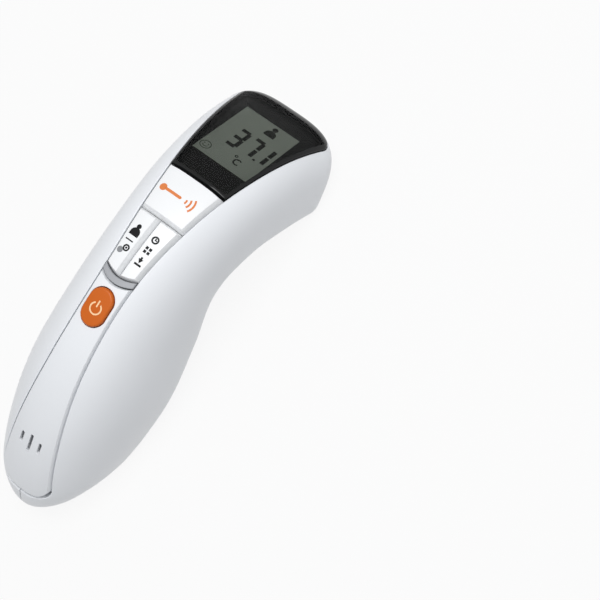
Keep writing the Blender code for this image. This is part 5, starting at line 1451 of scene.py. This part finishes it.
class THERMOMETER_OT_inside(bpy.types.Operator):
    """Finish the pieces inside, whose shapes come from the parts"""
    bl_idname = "thermometer.inside"
    bl_label = "Inner pieces"

    def execute(self, context):
        groups = (
            (inside_black, ("lcd_holder", "processor", "measure_switch", "mode_switch", "memory_switch",
                            "power_switch", "buzzer", "battery_tray")),
            (bezel_black, ("lcd_panel",)),
            (stem_grey, ("measure_switch_stem", "mode_switch_stem", "memory_switch_stem",
                         "power_switch_stem")),
            (circuit_green, ("display_board", "key_board", "main_board", "sensor_board")),
            (turned_aluminium, ("sensor_holder", "radio_module")),
            (contact_steel, ("ir_sensor", "contact_positive", "contact_negative", "contact_bridge")),
            (infrared_filter, ("ir_window",)),
            (zebra_rubber, ("lcd_connector",)),
            (cell_jacket, ("battery_left", "battery_right")),
            (flat_flex, ("display_flex", "key_flex", "sensor_flex")),
            (wire_red, ("battery_wire_red", "buzzer_wire_red")),
            (wire_black, ("battery_wire_black", "buzzer_wire_black")),
        )
        for finish, names in groups:
            for name in names:
                NODES[name].data.materials[0] = finish()
        return {"FINISHED"}


# ================================================================ stage
def seen_as_white(tree):
    """Whether a ray comes from the camera, through the window or off a gloss, and so meets plain white."""
    path = add(tree, "ShaderNodeLightPath")
    direct = add(tree, "ShaderNodeMath", {"operation": "MAXIMUM"}, {
        0: path.outputs["Is Camera Ray"], 1: path.outputs["Is Transmission Ray"]})
    return add(tree, "ShaderNodeMath", {"operation": "MAXIMUM"}, {
        0: direct.outputs[0], 1: path.outputs["Is Glossy Ray"]}).outputs[0]


def floor_paper():
    """Seamless white paper, matt: it renders white and keeps a soft shadow under the object."""
    made, tree, coords = begun("Paper, coated and matt")
    fibre = add(tree, "ShaderNodeTexNoise", {}, {"Vector": coords, "Scale": 1.0 / 0.002, "Detail": 2.0})
    tone = add(tree, "ShaderNodeMix", {"data_type": "RGBA"}, {
        0: fibre.outputs["Fac"], 6: linear("#D4D4D4"), 7: linear("#D8D8D8")})
    paper = add(tree, "ShaderNodeBsdfDiffuse", {}, {"Color": tone.outputs[2]})
    white = add(tree, "ShaderNodeEmission", {}, {"Color": WHITE, "Strength": 1.0})
    share = add(tree, "ShaderNodeMath", {"operation": "MULTIPLY"}, {0: seen_as_white(tree), 1: PAPER_GLOW})
    mix = add(tree, "ShaderNodeMixShader", {}, {
        0: share.outputs[0], 1: paper.outputs[0], 2: white.outputs[0]})
    add(tree, "ShaderNodeOutputMaterial", {}, {"Surface": mix.outputs[0]})
    return made


def studio_sky():
    """World that is white to the eye and lights softly, brighter overhead than at the horizon."""
    world = bpy.data.worlds.new("Studio")
    world.use_nodes = True
    tree = world.node_tree
    tree.nodes.clear()
    direction = add(tree, "ShaderNodeTexCoord").outputs["Generated"]
    parts = add(tree, "ShaderNodeSeparateXYZ", {}, {0: direction})
    height = add(tree, "ShaderNodeMapRange", {"interpolation_type": "SMOOTHSTEP"}, {
        "Value": parts.outputs["Z"], "From Min": -0.1, "From Max": 0.95})
    glow = add(tree, "ShaderNodeMix", {"data_type": "RGBA"}, {0: height.outputs[0], 6: SKY_LOW, 7: SKY_HIGH})
    sky = add(tree, "ShaderNodeBackground", {}, {"Color": glow.outputs[2], "Strength": 1.0})
    white = add(tree, "ShaderNodeBackground", {}, {"Color": WHITE, "Strength": 1.0})
    mix = add(tree, "ShaderNodeMixShader", {}, {
        0: seen_as_white(tree), 1: sky.outputs[0], 2: white.outputs[0]})
    add(tree, "ShaderNodeOutputWorld", {}, {"Surface": mix.outputs[0]})
    bpy.context.scene.world = world


def softbox(name, spot, aim, size, power):
    """Square area light at a spot, turned to shine at another."""
    lamp = bpy.data.lights.new(name, "AREA")
    lamp.shape = "SQUARE"
    lamp.size = size
    lamp.energy = power
    made = bpy.data.objects.new(name, lamp)
    bpy.context.scene.collection.objects.link(made)
    made.location = spot
    made.rotation_euler = (Vector(aim) - Vector(spot)).to_track_quat("-Z", "Y").to_euler()


class THERMOMETER_OT_stage(bpy.types.Operator):
    """Set up the floor, the lights, the sky and the camera"""
    bl_idname = "thermometer.stage"
    bl_label = "Stage"

    def execute(self, context):
        build = bmesh.new()
        bmesh.ops.create_grid(build, x_segments=8, y_segments=8, size=FLOOR_HALF)
        floor = to_object(build, "floor", close=False)
        floor.data.transform(Matrix.Translation((0.0, 0.0, FLOOR_HEIGHT)))
        floor.data.materials.append(floor_paper())
        studio_sky()
        for name, spot, size, power in LAMPS:
            softbox(name, spot, LAMP_AIM, size, power)
        lens = bpy.data.cameras.new("camera")
        lens.lens = CAMERA_LENS
        lens.sensor_width = CAMERA_SENSOR
        lens.clip_start = 0.01
        camera = bpy.data.objects.new("camera", lens)
        context.scene.collection.objects.link(camera)
        turn = Matrix((CAMERA_RIGHT, CAMERA_UP, CAMERA_RIGHT.cross(CAMERA_UP))).transposed().to_4x4()
        camera.matrix_world = Matrix.Translation(CAMERA_PLACE) @ turn
        context.scene.camera = camera
        context.scene.view_settings.view_transform = "Standard"
        return {"FINISHED"}


# ================================================================ add-on
OPERATORS = (
    THERMOMETER_OT_housing,
    THERMOMETER_OT_door,
    THERMOMETER_OT_panel,
    THERMOMETER_OT_key_frame,
    THERMOMETER_OT_keys,
    THERMOMETER_OT_power,
    THERMOMETER_OT_window,
    THERMOMETER_OT_display,
    THERMOMETER_OT_prints,
    THERMOMETER_OT_nose,
    THERMOMETER_OT_screws,
    THERMOMETER_OT_inside,
    THERMOMETER_OT_stage,
)


class THERMOMETER_PT_build(bpy.types.Panel):
    """Sizes, colours and the pieces to build"""
    bl_idname = "THERMOMETER_PT_build"
    bl_label = "Thermometer"
    bl_space_type = "VIEW_3D"
    bl_region_type = "UI"
    bl_category = "Thermometer"

    def draw(self, context):
        layout = self.layout
        for group in (context.scene.thermometer_form, context.scene.thermometer_colours):
            column = layout.column()
            for name in group.__annotations__:
                column.prop(group, name)
        for operator in OPERATORS:
            layout.operator(operator.bl_idname)


CLASSES = (ThermometerForm, ThermometerColours, *OPERATORS, THERMOMETER_PT_build)


def register():
    """Register the classes and give the scene its settings."""
    for cls in CLASSES:
        bpy.utils.register_class(cls)
    bpy.types.Scene.thermometer_form = PointerProperty(type=ThermometerForm)
    bpy.types.Scene.thermometer_colours = PointerProperty(type=ThermometerColours)


def unregister():
    """Take the settings and the classes away again."""
    del bpy.types.Scene.thermometer_colours
    del bpy.types.Scene.thermometer_form
    for cls in reversed(CLASSES):
        bpy.utils.unregister_class(cls)


def main():
    """Build every group of pieces in order."""
    register()
    for operator in OPERATORS:
        getattr(bpy.ops.thermometer, operator.bl_idname.split(".")[1])()


if __name__ == "__main__":
    main()
